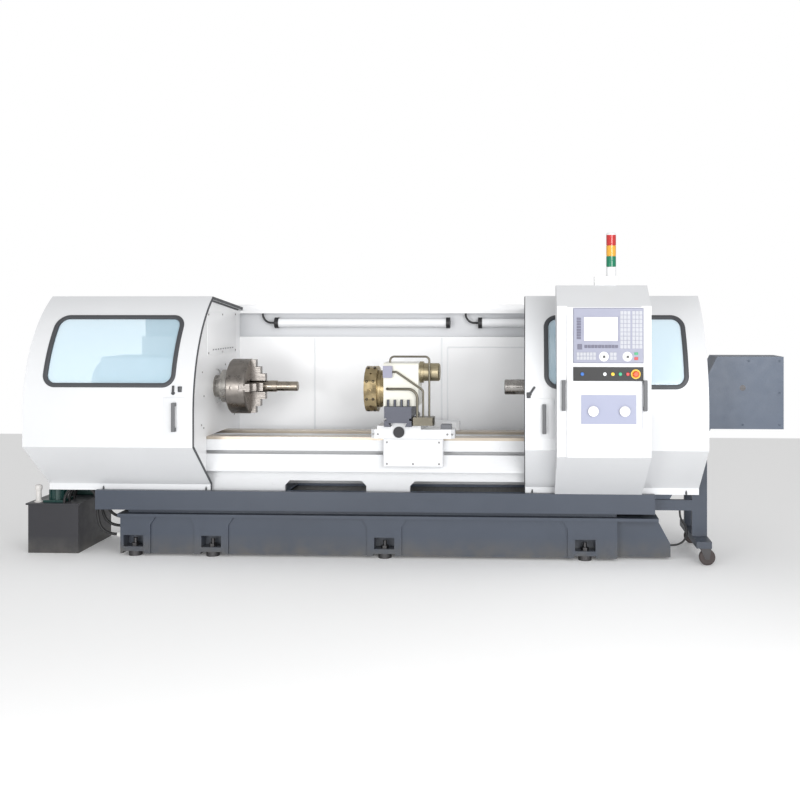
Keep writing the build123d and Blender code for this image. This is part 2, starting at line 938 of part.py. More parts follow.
def belt_loop(spindle_r, motor_r):
    """The outline of a tight band round the two pulley circles."""
    upper = Pos(axis_y, axis_z) * Circle(spindle_r)
    lower = Pos(motor_axis_y, motor_axis_z) * Circle(motor_r)
    return make_hull([*upper.edges(), *lower.edges()])


def belt_cover():
    """Cover over both pulleys, with the plate that carries the motor and rounded outer edges."""
    outer_face = belt_loop(pulley_radius + belt_cover_room, motor_radius + belt_cover_room)
    inner_room = belt_cover_room - belt_cover_wall
    inner_face = belt_loop(pulley_radius + inner_room, motor_radius + inner_room)
    cover = prism_x(outer_face, belt_cover_left_x, head_left_x)
    cover = fillet(cover.edges().group_by(Axis.X)[0], belt_cover_radius)
    room = prism_x(inner_face, belt_cover_left_x + belt_cover_wall, head_left_x - belt_cover_wall)
    cover -= fillet(room.edges().group_by(Axis.X)[0], belt_cover_radius - belt_cover_wall)
    span = belt_cover_wall + cut_overrun * 2
    plate_x = head_left_x - belt_cover_wall - cut_overrun
    cover -= rod("x", plate_x, axis_y, axis_z, shaft_radius + seat_gap, span)
    return cover - rod("x", plate_x, motor_axis_y, motor_axis_z, motor_shaft_radius + seat_gap, span)


def drive_belt():
    """The belt loop round both pulleys."""
    inner = belt_loop(pulley_radius + belt_gap, motor_pulley_radius + belt_gap)
    outer = belt_loop(
        pulley_radius + belt_gap + belt_thickness, motor_pulley_radius + belt_gap + belt_thickness,
    )
    return prism_x(outer - inner, pulley_x, pulley_x + pulley_width)


def main_motor():
    """Flange motor with cooling ribs, behind the headstock, with a bore for its shaft."""
    core = rod("x", head_left_x, motor_axis_y, motor_axis_z, motor_radius - motor_fin_depth, motor_length)
    flange = rod("x", head_left_x, motor_axis_y, motor_axis_z, motor_radius, motor_flange_thickness)
    body = core + flange
    fin_start = head_left_x + motor_flange_thickness
    fin_length = motor_length - motor_flange_thickness * 2
    for index in range(motor_fin_count):
        rib = block(
            fin_start, fin_start + fin_length, -motor_fin_depth / 2, motor_fin_depth / 2,
            motor_radius - motor_fin_depth * 2, motor_radius,
        )
        body += Pos(0, motor_axis_y, motor_axis_z) * Rot(360 * index / motor_fin_count, 0, 0) * rib
    bore = rod(
        "x", head_left_x - cut_overrun, motor_axis_y, motor_axis_z, motor_shaft_radius + running_gap,
        cut_overrun + motor_flange_thickness * 2,
    )
    return body - bore


def motor_pulley():
    """The motor's pulley on its shaft stub."""
    wheel = rod("x", pulley_x, motor_axis_y, motor_axis_z, motor_pulley_radius, pulley_width)
    shaft_length = head_left_x + motor_flange_thickness - pulley_x
    return wheel + rod("x", pulley_x, motor_axis_y, motor_axis_z, motor_shaft_radius, shaft_length)


def spindle_shaft():
    """Spindle with its rear pulley, the nose flange and a through bore."""
    shaft = rod("x", shaft_left_x, axis_y, axis_z, shaft_radius, nose_x - shaft_left_x)
    wheel = rod("x", pulley_x, axis_y, axis_z, pulley_radius, pulley_width)
    flange = rod("x", nose_x - nose_flange_length, axis_y, axis_z, nose_flange_radius, nose_flange_length)
    length = nose_x - shaft_left_x + cut_overrun * 2
    return shaft + wheel + flange - rod(
        "x", shaft_left_x - cut_overrun, axis_y, axis_z, shaft_bore_radius, length,
    )


def around_spindle(shape, index):
    """Turn a shape drawn at the top of the chuck to the place of one of the jaws."""
    return Pos(0, axis_y, axis_z) * Rot(90 * index, 0, 0) * Pos(0, -axis_y, -axis_z) * shape


def jaw_slot(gap):
    """The upright T-slot of one jaw, grown by a gap: a neck at the chuck's face and a wider foot below."""
    half = jaw_key_width / 2 + gap
    wide = jaw_width / 2 + gap
    neck_x = chuck_face_x - jaw_slot_depth + jaw_key_depth
    top_z = axis_z + jaw_inner + jaw_length + cut_overrun
    low_z = axis_z + jaw_inner
    foot_low_x = chuck_face_x - jaw_slot_depth - gap
    neck = block(foot_low_x, chuck_face_x + cut_overrun, axis_y - half, axis_y + half, low_z, top_z)
    foot = block(foot_low_x, neck_x + gap, axis_y - wide, axis_y + wide, low_z, top_z)
    return neck + foot


def chuck_body():
    """Four-jaw chuck: a turned body on a back plate, jaw slots, key sockets in the rim and a centre hole."""
    back = rod("x", nose_x, axis_y, axis_z, chuck_back_radius, chuck_back_length)
    drum = rod("x", nose_x + chuck_back_length, axis_y, axis_z, chuck_radius, chuck_length)
    drum = chamfer(drum.edges().filter_by(GeomType.CIRCLE), chuck_edge)
    body = back + drum
    body -= rod(
        "x", nose_x - cut_overrun, axis_y, axis_z, chuck_bore_radius,
        chuck_back_length + chuck_length * 2,
    )
    socket_x = nose_x + chuck_back_length + (chuck_length - jaw_slot_depth) / 2
    socket_z = axis_z + chuck_radius - key_socket_depth
    for index in range(4):
        body -= around_spindle(jaw_slot(slide_gap), index)
        socket = rod("up", socket_x, axis_y, socket_z, key_socket_radius, key_socket_depth + cut_overrun)
        body -= around_spindle(socket, index)
    return body


def chuck_jaw(index):
    """One stepped jaw with its T-foot, hollowed to the bar at its tip."""
    low_z = axis_z + jaw_inner
    high_z = low_z + jaw_length
    clear = block(
        nose_x, chuck_face_x + chuck_length, axis_y - chuck_radius, axis_y + chuck_radius, low_z,
        high_z,
    )
    foot = jaw_slot(0) & clear
    foot &= block(
        nose_x, chuck_face_x + slide_gap, axis_y - chuck_radius, axis_y + chuck_radius, low_z,
        high_z,
    )
    run = jaw_length / jaw_step_count
    half = jaw_width / 2
    steps = None
    for step in range(jaw_step_count):
        rise = jaw_step_height * (jaw_step_count - step)
        tread = block(
            chuck_face_x + slide_gap, chuck_face_x + rise, axis_y - half, axis_y + half,
            low_z + run * step, low_z + run * (step + 1),
        )
        steps = tread if steps is None else steps + tread
    jaw = foot + steps
    jaw -= rod("x", nose_x, axis_y, axis_z, jaw_inner + jaw_tip_hollow, chuck_length * 3)
    return around_spindle(jaw, index)


def test_bar():
    """The turned bar held in the chuck, with a smaller end."""
    thick_end = bar_end - bar_step_length
    bar = rod("x", nose_x + bar_start, axis_y, axis_z, bar_radius, thick_end - bar_start)
    tip = rod("x", nose_x + thick_end, axis_y, axis_z, bar_step_radius, bar_step_length)
    return bar + chamfer(tip.edges().group_by(Axis.X)[-1], chuck_edge / 2)


def z_screw():
    """The long screw that moves the carriage."""
    return rod("x", z_screw_left_x - z_block_length, z_screw_y, z_screw_z, z_screw_radius,
               z_screw_right_x - z_screw_left_x + z_block_length * 2)


def z_drive():
    """Bearing blocks at both ends of the long screw, seated in the channel, and the servo motor."""
    half = z_block_size / 2
    toe_z = channel_bottom_z + channel_wall
    bore = rod("x", z_screw_left_x - z_motor_length - z_block_length, z_screw_y, z_screw_z,
               z_screw_radius + running_gap, z_screw_right_x - z_screw_left_x + z_motor_length * 3)
    blocks = []
    for x0 in (z_screw_left_x - z_block_length, z_screw_right_x):
        body = block(x0, x0 + z_block_length, z_screw_y - half, z_screw_y + half, toe_z, z_screw_z + half)
        body += block(x0, x0 + z_block_length, z_screw_y + half, front_wall_y, z_screw_z, z_screw_z + half)
        blocks.append(body - bore)
    motor_x = z_screw_left_x - z_block_length - z_motor_length
    motor = block(motor_x, motor_x + z_motor_length, z_screw_y - half, z_screw_y + half,
                  z_screw_z - half, z_screw_z + half)
    motor = chamfer(motor.edges().filter_by(Axis.X), z_motor_edge)
    blocks.append(motor)
    return Compound(children=blocks)


def dovetail(gap):
    """The cross slide's male dovetail, wider at its top, grown by a gap."""
    lean = dovetail_height * dovetail_slope_share
    half = dovetail_width / 2 + gap
    low_z = saddle_top_z - gap
    top_z = dovetail_top_z + gap
    shape = outline(
        (
            cross_x - half + lean, low_z,
        ), (cross_x + half - lean, low_z), (cross_x + half, top_z), (cross_x - half, top_z)
    )
    return prism_y(shape, saddle_front_y, saddle_back_y)


def saddle():
    """H-shaped saddle: wings on the ways, a dovetail bridge, an oiler, the screw's channel, cap and motor."""
    wing_z = saddle_bottom_z + saddle_wing_height
    front = block(saddle_left_x, saddle_right_x, saddle_front_y, saddle_front_y + saddle_wing_width,
                  saddle_bottom_z, wing_z)
    back = block(saddle_left_x, saddle_right_x, saddle_back_y - saddle_wing_width, saddle_back_y,
                 saddle_bottom_z, wing_z)
    wings = chamfer((front + back).edges().filter_by(Axis.Z), saddle_wing_height * wing_chamfer_share)
    half = bridge_width / 2
    bridge = block(
        cross_x - half, cross_x + half, saddle_front_y, saddle_back_y, saddle_bottom_z,
        saddle_top_z,
    )
    oiler = block(
        saddle_right_x - oiler_inset - oiler_length, saddle_right_x - oiler_inset,
        saddle_front_y + oiler_inset, saddle_front_y + oiler_inset + oiler_depth,
        wing_z, wing_z + oiler_height,
    )
    oiler = chamfer(oiler.edges().group_by(Axis.Z)[-1], oiler_edge)
    body = wings + bridge + dovetail(0) + oiler
    wide = x_channel_width / 2
    body -= block(cross_x - wide, cross_x + wide, saddle_front_y + x_end_wall, saddle_back_y - x_end_wall,
                  dovetail_top_z - x_channel_depth, dovetail_top_z + cut_overrun)
    size = x_motor_size / 2
    motor = block(cross_x - size, cross_x + size, saddle_back_y, saddle_back_y + x_motor_length,
                  x_screw_z - size, x_screw_z + size)
    body += chamfer(motor.edges().filter_by(Axis.Y), x_motor_edge)
    body += rod("front", cross_x, saddle_front_y, x_screw_z, x_cap_radius, x_cap_length)
    return body - rod("back", cross_x, saddle_front_y, x_screw_z, x_screw_radius + running_gap,
                      saddle_back_y - saddle_front_y)


def x_screw():
    """The screw that moves the cross slide, between the channel's end walls."""
    return rod("back", cross_x, saddle_front_y + running_gap, x_screw_z, x_screw_radius,
               saddle_back_y - saddle_front_y - running_gap * 2)


def apron():
    """Apron under the saddle's front, with a web through the bed's slit down to the long screw's nut."""
    back_y = channel_front_y - apron_gap
    plate = block(
        apron_left_x, apron_left_x + apron_width, saddle_front_y, back_y, apron_bottom_z,
        saddle_bottom_z,
    )
    plate = chamfer(plate.edges().group_by(Axis.Y)[0], apron_edge)
    x0 = apron_left_x + (apron_width - nut_length) / 2
    slit_mid_z = panel_top_z + slit_height / 2
    web = block(
        x0, x0 + nut_length, back_y, z_screw_y + nut_web / 2, slit_mid_z - nut_web / 2,
        slit_mid_z + nut_web / 2,
    )
    drop = block(
        x0, x0 + nut_length, z_screw_y - nut_web / 2, z_screw_y + nut_web / 2, z_screw_z,
        slit_mid_z,
    )
    nut = rod("x", x0, z_screw_y, z_screw_z, z_nut_radius, nut_length)
    bore = rod(
        "x", x0 - cut_overrun, z_screw_y, z_screw_z, z_screw_radius + running_gap,
        nut_length + cut_overrun * 2,
    )
    return plate + web + drop + nut - bore


def turret_riser():
    """Cross slide and riser: dovetail groove below, a stepped block above, its screws and the screw's nut."""
    low_z = saddle_top_z + slide_gap
    right_x = riser_left_x + riser_width
    body = block(riser_left_x, right_x, riser_front_y, riser_back_y, low_z, riser_top_z)
    waist_z = dovetail_top_z + riser_step
    for x0, x1 in ((riser_left_x - cut_overrun, riser_left_x + riser_step),
                   (right_x - riser_step, right_x + cut_overrun)):
        body -= block(
            x0, x1, riser_front_y - cut_overrun, riser_back_y + cut_overrun, waist_z,
            waist_z + riser_step,
        )
    groove = dovetail(slide_gap)
    body -= groove + Pos(0, saddle_front_y - saddle_back_y, 0) * groove
    half = x_nut_width / 2
    nut_y = riser_back_y - x_nut_inset
    nut = block(
        cross_x - half, cross_x + half, nut_y - x_nut_length, nut_y,
        x_screw_z - x_screw_radius - slide_gap, dovetail_top_z + riser_step,
    )
    body += nut
    body -= rod("front", cross_x, riser_back_y, x_screw_z, x_screw_radius + running_gap, x_nut_length * 2)
    pitch = (riser_width - riser_screw_inset * 2) / (riser_screw_count - 1)
    for index in range(riser_screw_count):
        x = riser_left_x + riser_screw_inset + pitch * index
        body += rod(
            "up", x, riser_front_y + riser_screw_inset, riser_top_z, riser_screw_radius,
            riser_screw_height,
        )
    return body


def turret_body():
    """Turret housing on the riser, with rounded long edges and a switch box on its front corner."""
    x1 = turret_left_x + turret_length
    body = block(
        turret_left_x, x1, disc_y - turret_half_width, disc_y + turret_half_width, riser_top_z,
        turret_top_z,
    )
    body = fillet(body.edges().filter_by(Axis.X).group_by(Axis.Z)[-1], turret_edge_radius)
    front_y = disc_y - turret_half_width
    box_z = turret_top_z - turret_edge_radius
    switch = block(turret_left_x, turret_left_x + switch_box_length, front_y - switch_box_depth, front_y,
                   box_z - switch_box_height, box_z)
    bore = rod("x", turret_left_x - cut_overrun, disc_y, axis_z, disc_hub_radius + running_gap,
               cut_overrun + disc_hub_length + slide_gap)
    return body + switch - bore


def turret_disc():
    """Tool disc: a turned drum, tool holes on its face, rim screw holes and a hub into the housing."""
    drum = Pos(disc_left_x, disc_y, axis_z) * Rot(0, 90, 0) * extrude(
        RegularPolygon(disc_radius, station_count * 2), disc_length)
    waist = rod("x", disc_left_x, disc_y, axis_z, disc_waist_radius, disc_length + disc_waist_length)
    flange_x = disc_right_x - slide_gap
    flange = rod("x", disc_right_x - disc_waist_length, disc_y, axis_z, back_flange_radius,
                 turret_left_x - slide_gap - disc_right_x + disc_waist_length)
    hub = rod("x", flange_x, disc_y, axis_z, disc_hub_radius, turret_left_x + disc_hub_length - flange_x)
    body = drum + waist + flange + hub
    for index in range(station_count):
        turn = Pos(0, disc_y, axis_z) * Rot(360 * index / station_count, 0, 0)
        body -= turn * rod("x", disc_left_x - cut_overrun, 0, station_circle_radius, station_radius,
                           station_depth + cut_overrun)
        body -= turn * rod(
            "up", disc_left_x + disc_length / 2, 0, disc_radius - rim_hole_depth, rim_hole_radius,
            rim_hole_depth * 2,
        )
    return body


def turret_motor():
    """Indexing motor on the housing's right side."""
    x0 = turret_left_x + turret_length
    flange = rod("x", x0, disc_y, turret_motor_z, turret_motor_flange_radius, turret_motor_flange)
    can = rod(
        "x", x0 + turret_motor_flange, disc_y, turret_motor_z, turret_motor_radius,
        turret_motor_length,
    )
    return flange + chamfer(can.edges().group_by(Axis.X)[-1], turret_motor_radius * can_edge_share)


def turret_pipes():
    """Junction block beside the riser, the rigid pipe over the housing and two hoses down to the block."""
    x0 = riser_left_x + riser_width
    front_y = disc_y - turret_half_width
    pipe_y = disc_y - turret_motor_flange_radius - pipe_radius * 2
    top_z = saddle_top_z + junction_lift + junction_height
    body = block(x0, x0 + junction_width, pipe_y - junction_depth, pipe_y + junction_depth / 2,
                 saddle_top_z + junction_lift, top_z)
    body = chamfer(body.edges().filter_by(Axis.Z), junction_lift)
    over_z = turret_top_z + pipe_radius * 2
    bend = pipe_radius * 4
    pipe_x = x0 + junction_width * pipe_share
    end_x = turret_left_x + pipe_radius * 6
    arch = tube(
        [
            (pipe_x, pipe_y, top_z),
            (pipe_x, pipe_y, over_z + bend),
            (end_x, pipe_y, over_z + bend),
            (end_x, pipe_y, turret_top_z),
        ],
        bend,
        pipe_radius,
    )
    hose_y = front_y - switch_box_depth / 2
    box_z = turret_top_z - turret_edge_radius - switch_box_height / 2
    mid_x = x0 + junction_width * diagonal_share
    slant = tube(
        [
            (turret_left_x + switch_box_length, hose_y, box_z),
            (turret_left_x + switch_box_length + bend, hose_y, box_z),
            (mid_x, hose_y, axis_z),
            (mid_x, hose_y, top_z),
        ],
        [pipe_radius * 2, bend],
        pipe_radius,
    )
    low_x = x0 + junction_width * low_share
    level_z = axis_z + hose_radius
    feed_x = turret_left_x + hose_radius * 3
    feed_y = front_y - hose_radius * 4
    level = tube(
        [
            (feed_x, front_y, level_z),
            (feed_x, feed_y, level_z),
            (low_x, feed_y, level_z),
            (low_x, feed_y, top_z),
        ],
        [hose_radius * 3, hose_radius * 7],
        hose_radius,
    )
    return Compound(children=[body, arch, slant, level])


def tailstock_body():
    """Tailstock: a foot on the ways, a waisted casting and the quill's barrel."""
    foot_top_z = saddle_bottom_z + tail_base_height
    neck = tail_neck_half_width
    foot = outline(
        (axis_y - bed_half_width, saddle_bottom_z),
        (axis_y + bed_half_width, saddle_bottom_z),
        (axis_y + bed_half_width, foot_top_z - tail_base_height / 2),
        (axis_y + neck, foot_top_z),
        (axis_y + neck, axis_z),
        (axis_y - neck, axis_z),
        (axis_y - neck, foot_top_z),
        (axis_y - bed_half_width, foot_top_z - tail_base_height / 2),
    )
    barrel = Pos(axis_y, axis_z) * Circle(tail_barrel_radius)
    body = prism_x(foot + barrel, tail_left_x, tail_left_x + tail_length)
    return body - rod("x", tail_left_x - cut_overrun, axis_y, axis_z, quill_radius + running_gap,
                      tail_length + cut_overrun * 2)


def tailstock_quill():
    """The quill, with a tapered socket in its nose."""
    x0 = tail_left_x - quill_out
    body = rod("x", x0, axis_y, axis_z, quill_radius, quill_length)
    body = chamfer(body.edges().group_by(Axis.X)[0], quill_edge)
    socket = Cone(quill_taper_radius, quill_taper_end_radius, quill_taper_depth,
                  align=(Align.CENTER, Align.CENTER, Align.MIN))
    return body - Pos(x0, axis_y, axis_z) * Rot(0, 90, 0) * socket


def handle(x, back_y, z):
    """An upright pull handle: a bar on two feet, standing clear of a front face."""
    half = door_handle_length / 2
    side = door_handle_width / 2
    bar_y = back_y - door_handle_reach
    bar = block(x - side, x + side, bar_y, bar_y + door_handle_bar, z - half, z + half)
    bar = fillet(bar.edges().filter_by(Axis.Z), door_handle_bar * handle_round_share)
    for low_z in (z - half, z + half - door_handle_width):
        bar += block(
            x - side, x + side, bar_y + door_handle_bar / 2, back_y, low_z,
            low_z + door_handle_width,
        )
    return bar


def window_prism(x0, width):
    """The window's rounded opening, carried through the door's front."""
    shape = Pos(x0 + width / 2, (window_bottom_z + window_top_z) / 2) * RectangleRounded(
        width - window_margin * 2, window_top_z - window_bottom_z, window_radius)
    return prism_y(shape, hood_bulge_y - cut_overrun, axis_y)


def hood_layer(x0, width, outer, inner):
    """A layer of the hood between two depths below its outer face, cut at the skirt and the roof's back."""
    ring = hood_face(-outer) - hood_face(-inner)
    keep = block(x0 - cut_overrun, x0 + width + cut_overrun, hood_bulge_y - cut_overrun, hood_roof_back_y,
                 skirt_bottom_z, hood_crest_z + cut_overrun)
    return prism_x(ring, x0, x0 + width) & keep


def door_shell(x0, width, handle_x):
    """One hood door: the bent shell, its window opening and its pull handle."""
    shell = hood_layer(x0, width, 0, hood_wall) - window_prism(x0, width)
    return shell + handle(handle_x, hood_bulge_y, door_handle_z)


def door_pane(x0, width):
    """The bent pane in the middle of the door's wall."""
    outer = (hood_wall - pane_thickness) / 2
    return hood_layer(x0, width, outer, outer + pane_thickness) & window_prism(x0, width)


def control_section(inset):
    """The control cabinet's side outline, made smaller by an inset."""
    face = outline(
        (tray_front_y, control_bottom_z),
        (control_front_y, control_knee_z),
        (control_front_y, control_slope_z),
        (control_top_front_y, control_top_z),
        (control_top_back_y, control_top_z),
        (control_top_back_y, control_knee_z),
        (tray_front_y + track_width, control_bottom_z),
    )
    face -= hood_face(control_low_gap)
    upper = outline(
        (control_front_y, hood_bulge_low_z),
        (hood_crest_y, hood_bulge_low_z),
        (hood_crest_y, control_top_z),
        (control_front_y, control_top_z),
    )
    face -= hood_face(control_gap) & upper
    if inset == 0:
        return face
    return offset(face, amount=-inset, kind=Kind.INTERSECTION)


def control_cabinet():
    """Hollow control cabinet with set-back side strips, holes for the controls and two handles."""
    x1 = control_left_x + control_width
    body = prism_x(control_section(0), control_left_x, x1)
    body -= prism_x(control_section(control_wall), control_left_x + control_wall, x1 - control_wall)
    for x0 in (control_left_x - cut_overrun, x1 - control_front_margin):
        body -= block(x0, x0 + control_front_margin + cut_overrun, control_front_y - cut_overrun,
                      control_front_y + control_front_lift, control_knee_z, control_top_z + cut_overrun)
    for x, radius in button_holes():
        body -= rod(
            "back", x, control_front_y - cut_overrun, button_z, radius + slide_gap,
            cut_overrun * 2 + control_wall,
        )
    for x in (control_left_x + control_handle_inset, x1 - control_handle_inset):
        body += handle(x, control_front_y + control_front_lift, control_handle_z)
    return body


def button_holes():
    """The places and hole radii of the sprung buttons in the strip."""
    plain = [(x, button_radius) for x in (blue_x, yellow_x, green_x, red_x)]
    return plain + [(stop_x, stop_stem_radius)]


def operator_panels():
    """The plates on the cabinet's front: the control unit, the button strip and the wheel plate."""
    face_y = control_front_y
    unit = block(panel_left_x, panel_left_x + panel_width, face_y - panel_thickness, face_y,
                 panel_bottom_z, panel_bottom_z + panel_height)
    unit = chamfer(unit.edges().group_by(Axis.Y)[0], panel_thickness * panel_edge_share)
    screen_x = panel_left_x + screen_left
    screen_z = panel_bottom_z + screen_bottom
    unit -= block(screen_x, screen_x + screen_width, face_y - panel_thickness - cut_overrun,
                  face_y - panel_thickness + screen_depth, screen_z, screen_z + screen_height)
    for x in (feed_dial_x, speed_dial_x):
        unit -= rod(
            "front", x, face_y, dial_z, dial_stem_radius + running_gap,
            panel_thickness + cut_overrun,
        )
    strip = block(panel_left_x, panel_left_x + panel_width, face_y - strip_thickness, face_y,
                  strip_bottom_z, strip_bottom_z + strip_height)
    strip += rod("front", lamp_x, face_y, button_z, button_radius, strip_thickness + button_recess)
    strip += rod("front", stop_x, face_y, button_z, stop_ring_radius, strip_thickness + stop_ring_thickness)
    for x, radius in button_holes():
        strip -= rod("front", x, face_y + cut_overrun, button_z, radius + running_gap, cut_overrun * 3)
    plate = block(plate_left_x, plate_left_x + plate_width, face_y - plate_thickness, face_y,
                  plate_bottom_z, plate_bottom_z + plate_height)
    for x in (x_wheel_x, z_wheel_x):
        plate -= rod(
            "front", x, face_y, wheel_z, dial_stem_radius + running_gap,
            plate_thickness + cut_overrun,
        )
    return Compound(children=[unit, strip, plate])


def push_button(x):
    """A round button through the strip, free to be pressed in."""
    proud_y = control_front_y - strip_thickness - button_recess
    body = rod("back", x, proud_y, button_z, button_radius, button_length)
    return chamfer(body.edges().group_by(Axis.Y)[0], button_radius * button_edge_share)


def stop_button():
    """The mushroom stop button: a domed cap on a stem through the strip."""
    under_y = control_front_y - strip_thickness - stop_ring_thickness - button_travel - slide_gap
    cap = rod("front", stop_x, under_y, button_z, stop_radius, stop_cap_length)
    cap = fillet(cap.edges().group_by(Axis.Y)[0], stop_cap_length * stop_dome_share)
    return cap + rod("back", stop_x, under_y, button_z, stop_stem_radius, button_length)


def turning_knob(x, z, plate_y, radius, length):
    """A round knob on a stem that turns in its plate."""
    face_y = plate_y - slide_gap
    body = rod("front", x, face_y, z, radius, length)
    body = chamfer(body.edges().group_by(Axis.Y)[0], length * knob_edge_share)
    return body + rod("back", x, face_y, z, dial_stem_radius, dial_stem_length * dial_stem_share)


def hand_wheel(x):
    """A small handwheel with a crank pin near its rim."""
    plate_y = control_front_y - plate_thickness
    wheel = turning_knob(x, wheel_z, plate_y, wheel_radius, wheel_length)
    pin_y = plate_y - slide_gap - wheel_length
    return wheel + rod("front", x, pin_y, wheel_z + wheel_radius * crank_share, crank_radius, crank_length)


def signal_tower():
    """Lamp tower on a bracket on the cabinet's top: a base, stacked lenses and a cap."""
    y = (control_top_front_y + control_top_back_y) / 2
    half = tower_bracket / 2
    body = block(tower_x - tower_bracket - tower_radius, tower_x + tower_radius, y - half, y + half,
                 control_top_z, control_top_z + tower_bracket_height)
    z = control_top_z + tower_bracket_height
    body += rod("up", tower_x, y, z, tower_radius, tower_base_height)
    z += tower_base_height
    for _ in range(tower_segment_count):
        body += rod("up", tower_x, y, z, tower_radius * tower_groove_share, tower_segment)
        body += rod(
            "up", tower_x, y, z + tower_cap_height / 4, tower_radius,
            tower_segment - tower_cap_height / 4,
        )
        z += tower_segment
    cap = rod("up", tower_x, y, z, tower_radius, tower_cap_height)
    return body + chamfer(cap.edges().group_by(Axis.Z)[-1], tower_cap_height / 2)


def coolant_tank():
    """Coolant tank: an open sheet box under an overhanging lid."""
    x1 = tank_left_x + tank_width
    y1 = tank_front_y + tank_depth
    lid_z = tank_height - tank_lid_reach
    body = block(tank_left_x, x1, tank_front_y, y1, 0, lid_z)
    body -= block(
        tank_left_x + tank_wall, x1 - tank_wall, tank_front_y + tank_wall, y1 - tank_wall,
        tank_wall, lid_z,
    )
    lid = block(tank_left_x - tank_lid_reach, x1 + tank_lid_reach, tank_front_y - tank_lid_reach,
                y1 + tank_lid_reach, lid_z, tank_height)
    return body + lid


def coolant_pump():
    """Pump on the tank's lid: a square base, a ribbed motor and an outlet elbow."""
    half = pump_base / 2
    base_z = tank_height + pump_base_height
    body = block(pump_x - half, pump_x + half, pump_y - half, pump_y + half, tank_height, base_z)
    body += rod("up", pump_x, pump_y, base_z, pump_radius - pump_fin_depth, pump_height)
    for index in range(pump_fin_count):
        rib = block(pump_radius - pump_fin_depth * 2, pump_radius, -pump_fin_depth / 2, pump_fin_depth / 2,
                    0, pump_height - pump_base_height)
        body += Pos(pump_x, pump_y, base_z) * Rot(0, 0, 360 * index / pump_fin_count) * rib
    return body


def coolant_hoses():
    """Three hoses from the tank's lid, bent over and down into the glands on the base's left end."""
    pieces = []
    end_x = base_left_x - gland_length
    slant = hose_run * math.sin(math.radians(45))
    lid_x = end_x - hose_end_run - slant * 3 - hose_run
    for index, height in enumerate(gland_heights):
        y = gland_y + gland_radius * 3 * index
        cone = Cone(
            gland_tip_radius, gland_radius, gland_length,
            align=(Align.CENTER, Align.CENTER, Align.MIN),
        )
        gland = Pos(end_x, y, height) * Rot(0, 90, 0) * cone
        drop = tank_height + hose_rise - slant - height
        steps = [
            (90, hose_rise), (45, hose_run), (0, hose_run), (-45, hose_run),
            (-90, drop), (-45, hose_run), (0, hose_end_run),
        ]
        pieces += [gland, bent_hose("coolant hose", lid_x, y, tank_height, steps, drain_hose_radius)]
    return Compound(children=pieces)


def electrical_cabinet():
    """Cabinet on its own plinth behind the guard, with two flat doors, louvres and a main switch."""
    x1 = ecab_left_x + ecab_width
    y1 = ecab_front_y + ecab_depth
    body = block(ecab_left_x, x1, ecab_front_y, y1, ecab_bottom_z, ecab_top_z)
    body = chamfer(body.edges().group_by(Axis.Z)[-1], ecab_edge)
    body -= block(ecab_left_x + ecab_wall, x1 - ecab_wall, ecab_front_y + ecab_wall, y1 - ecab_wall,
                  ecab_bottom_z + ecab_wall, ecab_top_z - ecab_wall)
    body += block(ecab_left_x + ecab_plinth_inset, x1 - ecab_plinth_inset, ecab_front_y + ecab_plinth_inset,
                  y1 - ecab_plinth_inset, 0, ecab_bottom_z)
    middle = (ecab_left_x + x1) / 2
    for x0, x2 in ((ecab_left_x, middle), (middle, x1)):
        body += block(x0 + ecab_door_gap, x2 - ecab_door_gap, y1, y1 + ecab_door_depth,
                      ecab_bottom_z + ecab_edge, ecab_top_z - ecab_edge)
        mid_x = (x0 + x2) / 2
        for index in range(louvre_count):
            z = ecab_bottom_z + louvre_pitch * (index + 3)
            body += block(mid_x - louvre_width / 2, mid_x + louvre_width / 2, y1 + ecab_door_depth,
                          y1 + ecab_door_depth * 2, z, z + louvre_height)
    switch_z = ecab_top_z - louvre_width
    knob = rod(
        "back", middle + louvre_width / 2, y1 + ecab_door_depth, switch_z, switch_knob_radius,
        switch_knob_length,
    )
    return body + knob


def conveyor_outline(inset):
    """The conveyor's side outline, made smaller by an inset: a trough, a steep incline and the head box."""
    lean = math.tan(math.radians(90 - incline_angle))
    level_shift = incline_thickness / math.sin(math.radians(incline_angle))
    trough_top_z = trough_bottom_z + trough_height
    bevel_z = head_box_top_z - head_box_bevel * 2
    foot_top_x = incline_foot_x - level_shift + lean * trough_height
    face = outline(
        (conveyor_left_x, trough_bottom_z),
        (incline_foot_x, trough_bottom_z),
        (incline_foot_x + lean * (head_box_bottom_z - trough_bottom_z), head_box_bottom_z),
        (head_box_right_x, head_box_bottom_z),
        (head_box_right_x, head_box_top_z),
        (foot_top_x + lean * (bevel_z - trough_top_z) + head_box_bevel, head_box_top_z),
        (foot_top_x + lean * (bevel_z - trough_top_z), bevel_z),
        (foot_top_x, trough_top_z),
        (conveyor_left_x, trough_top_z),
    )
    if inset == 0:
        return face
    return offset(face, amount=-inset, kind=Kind.INTERSECTION)


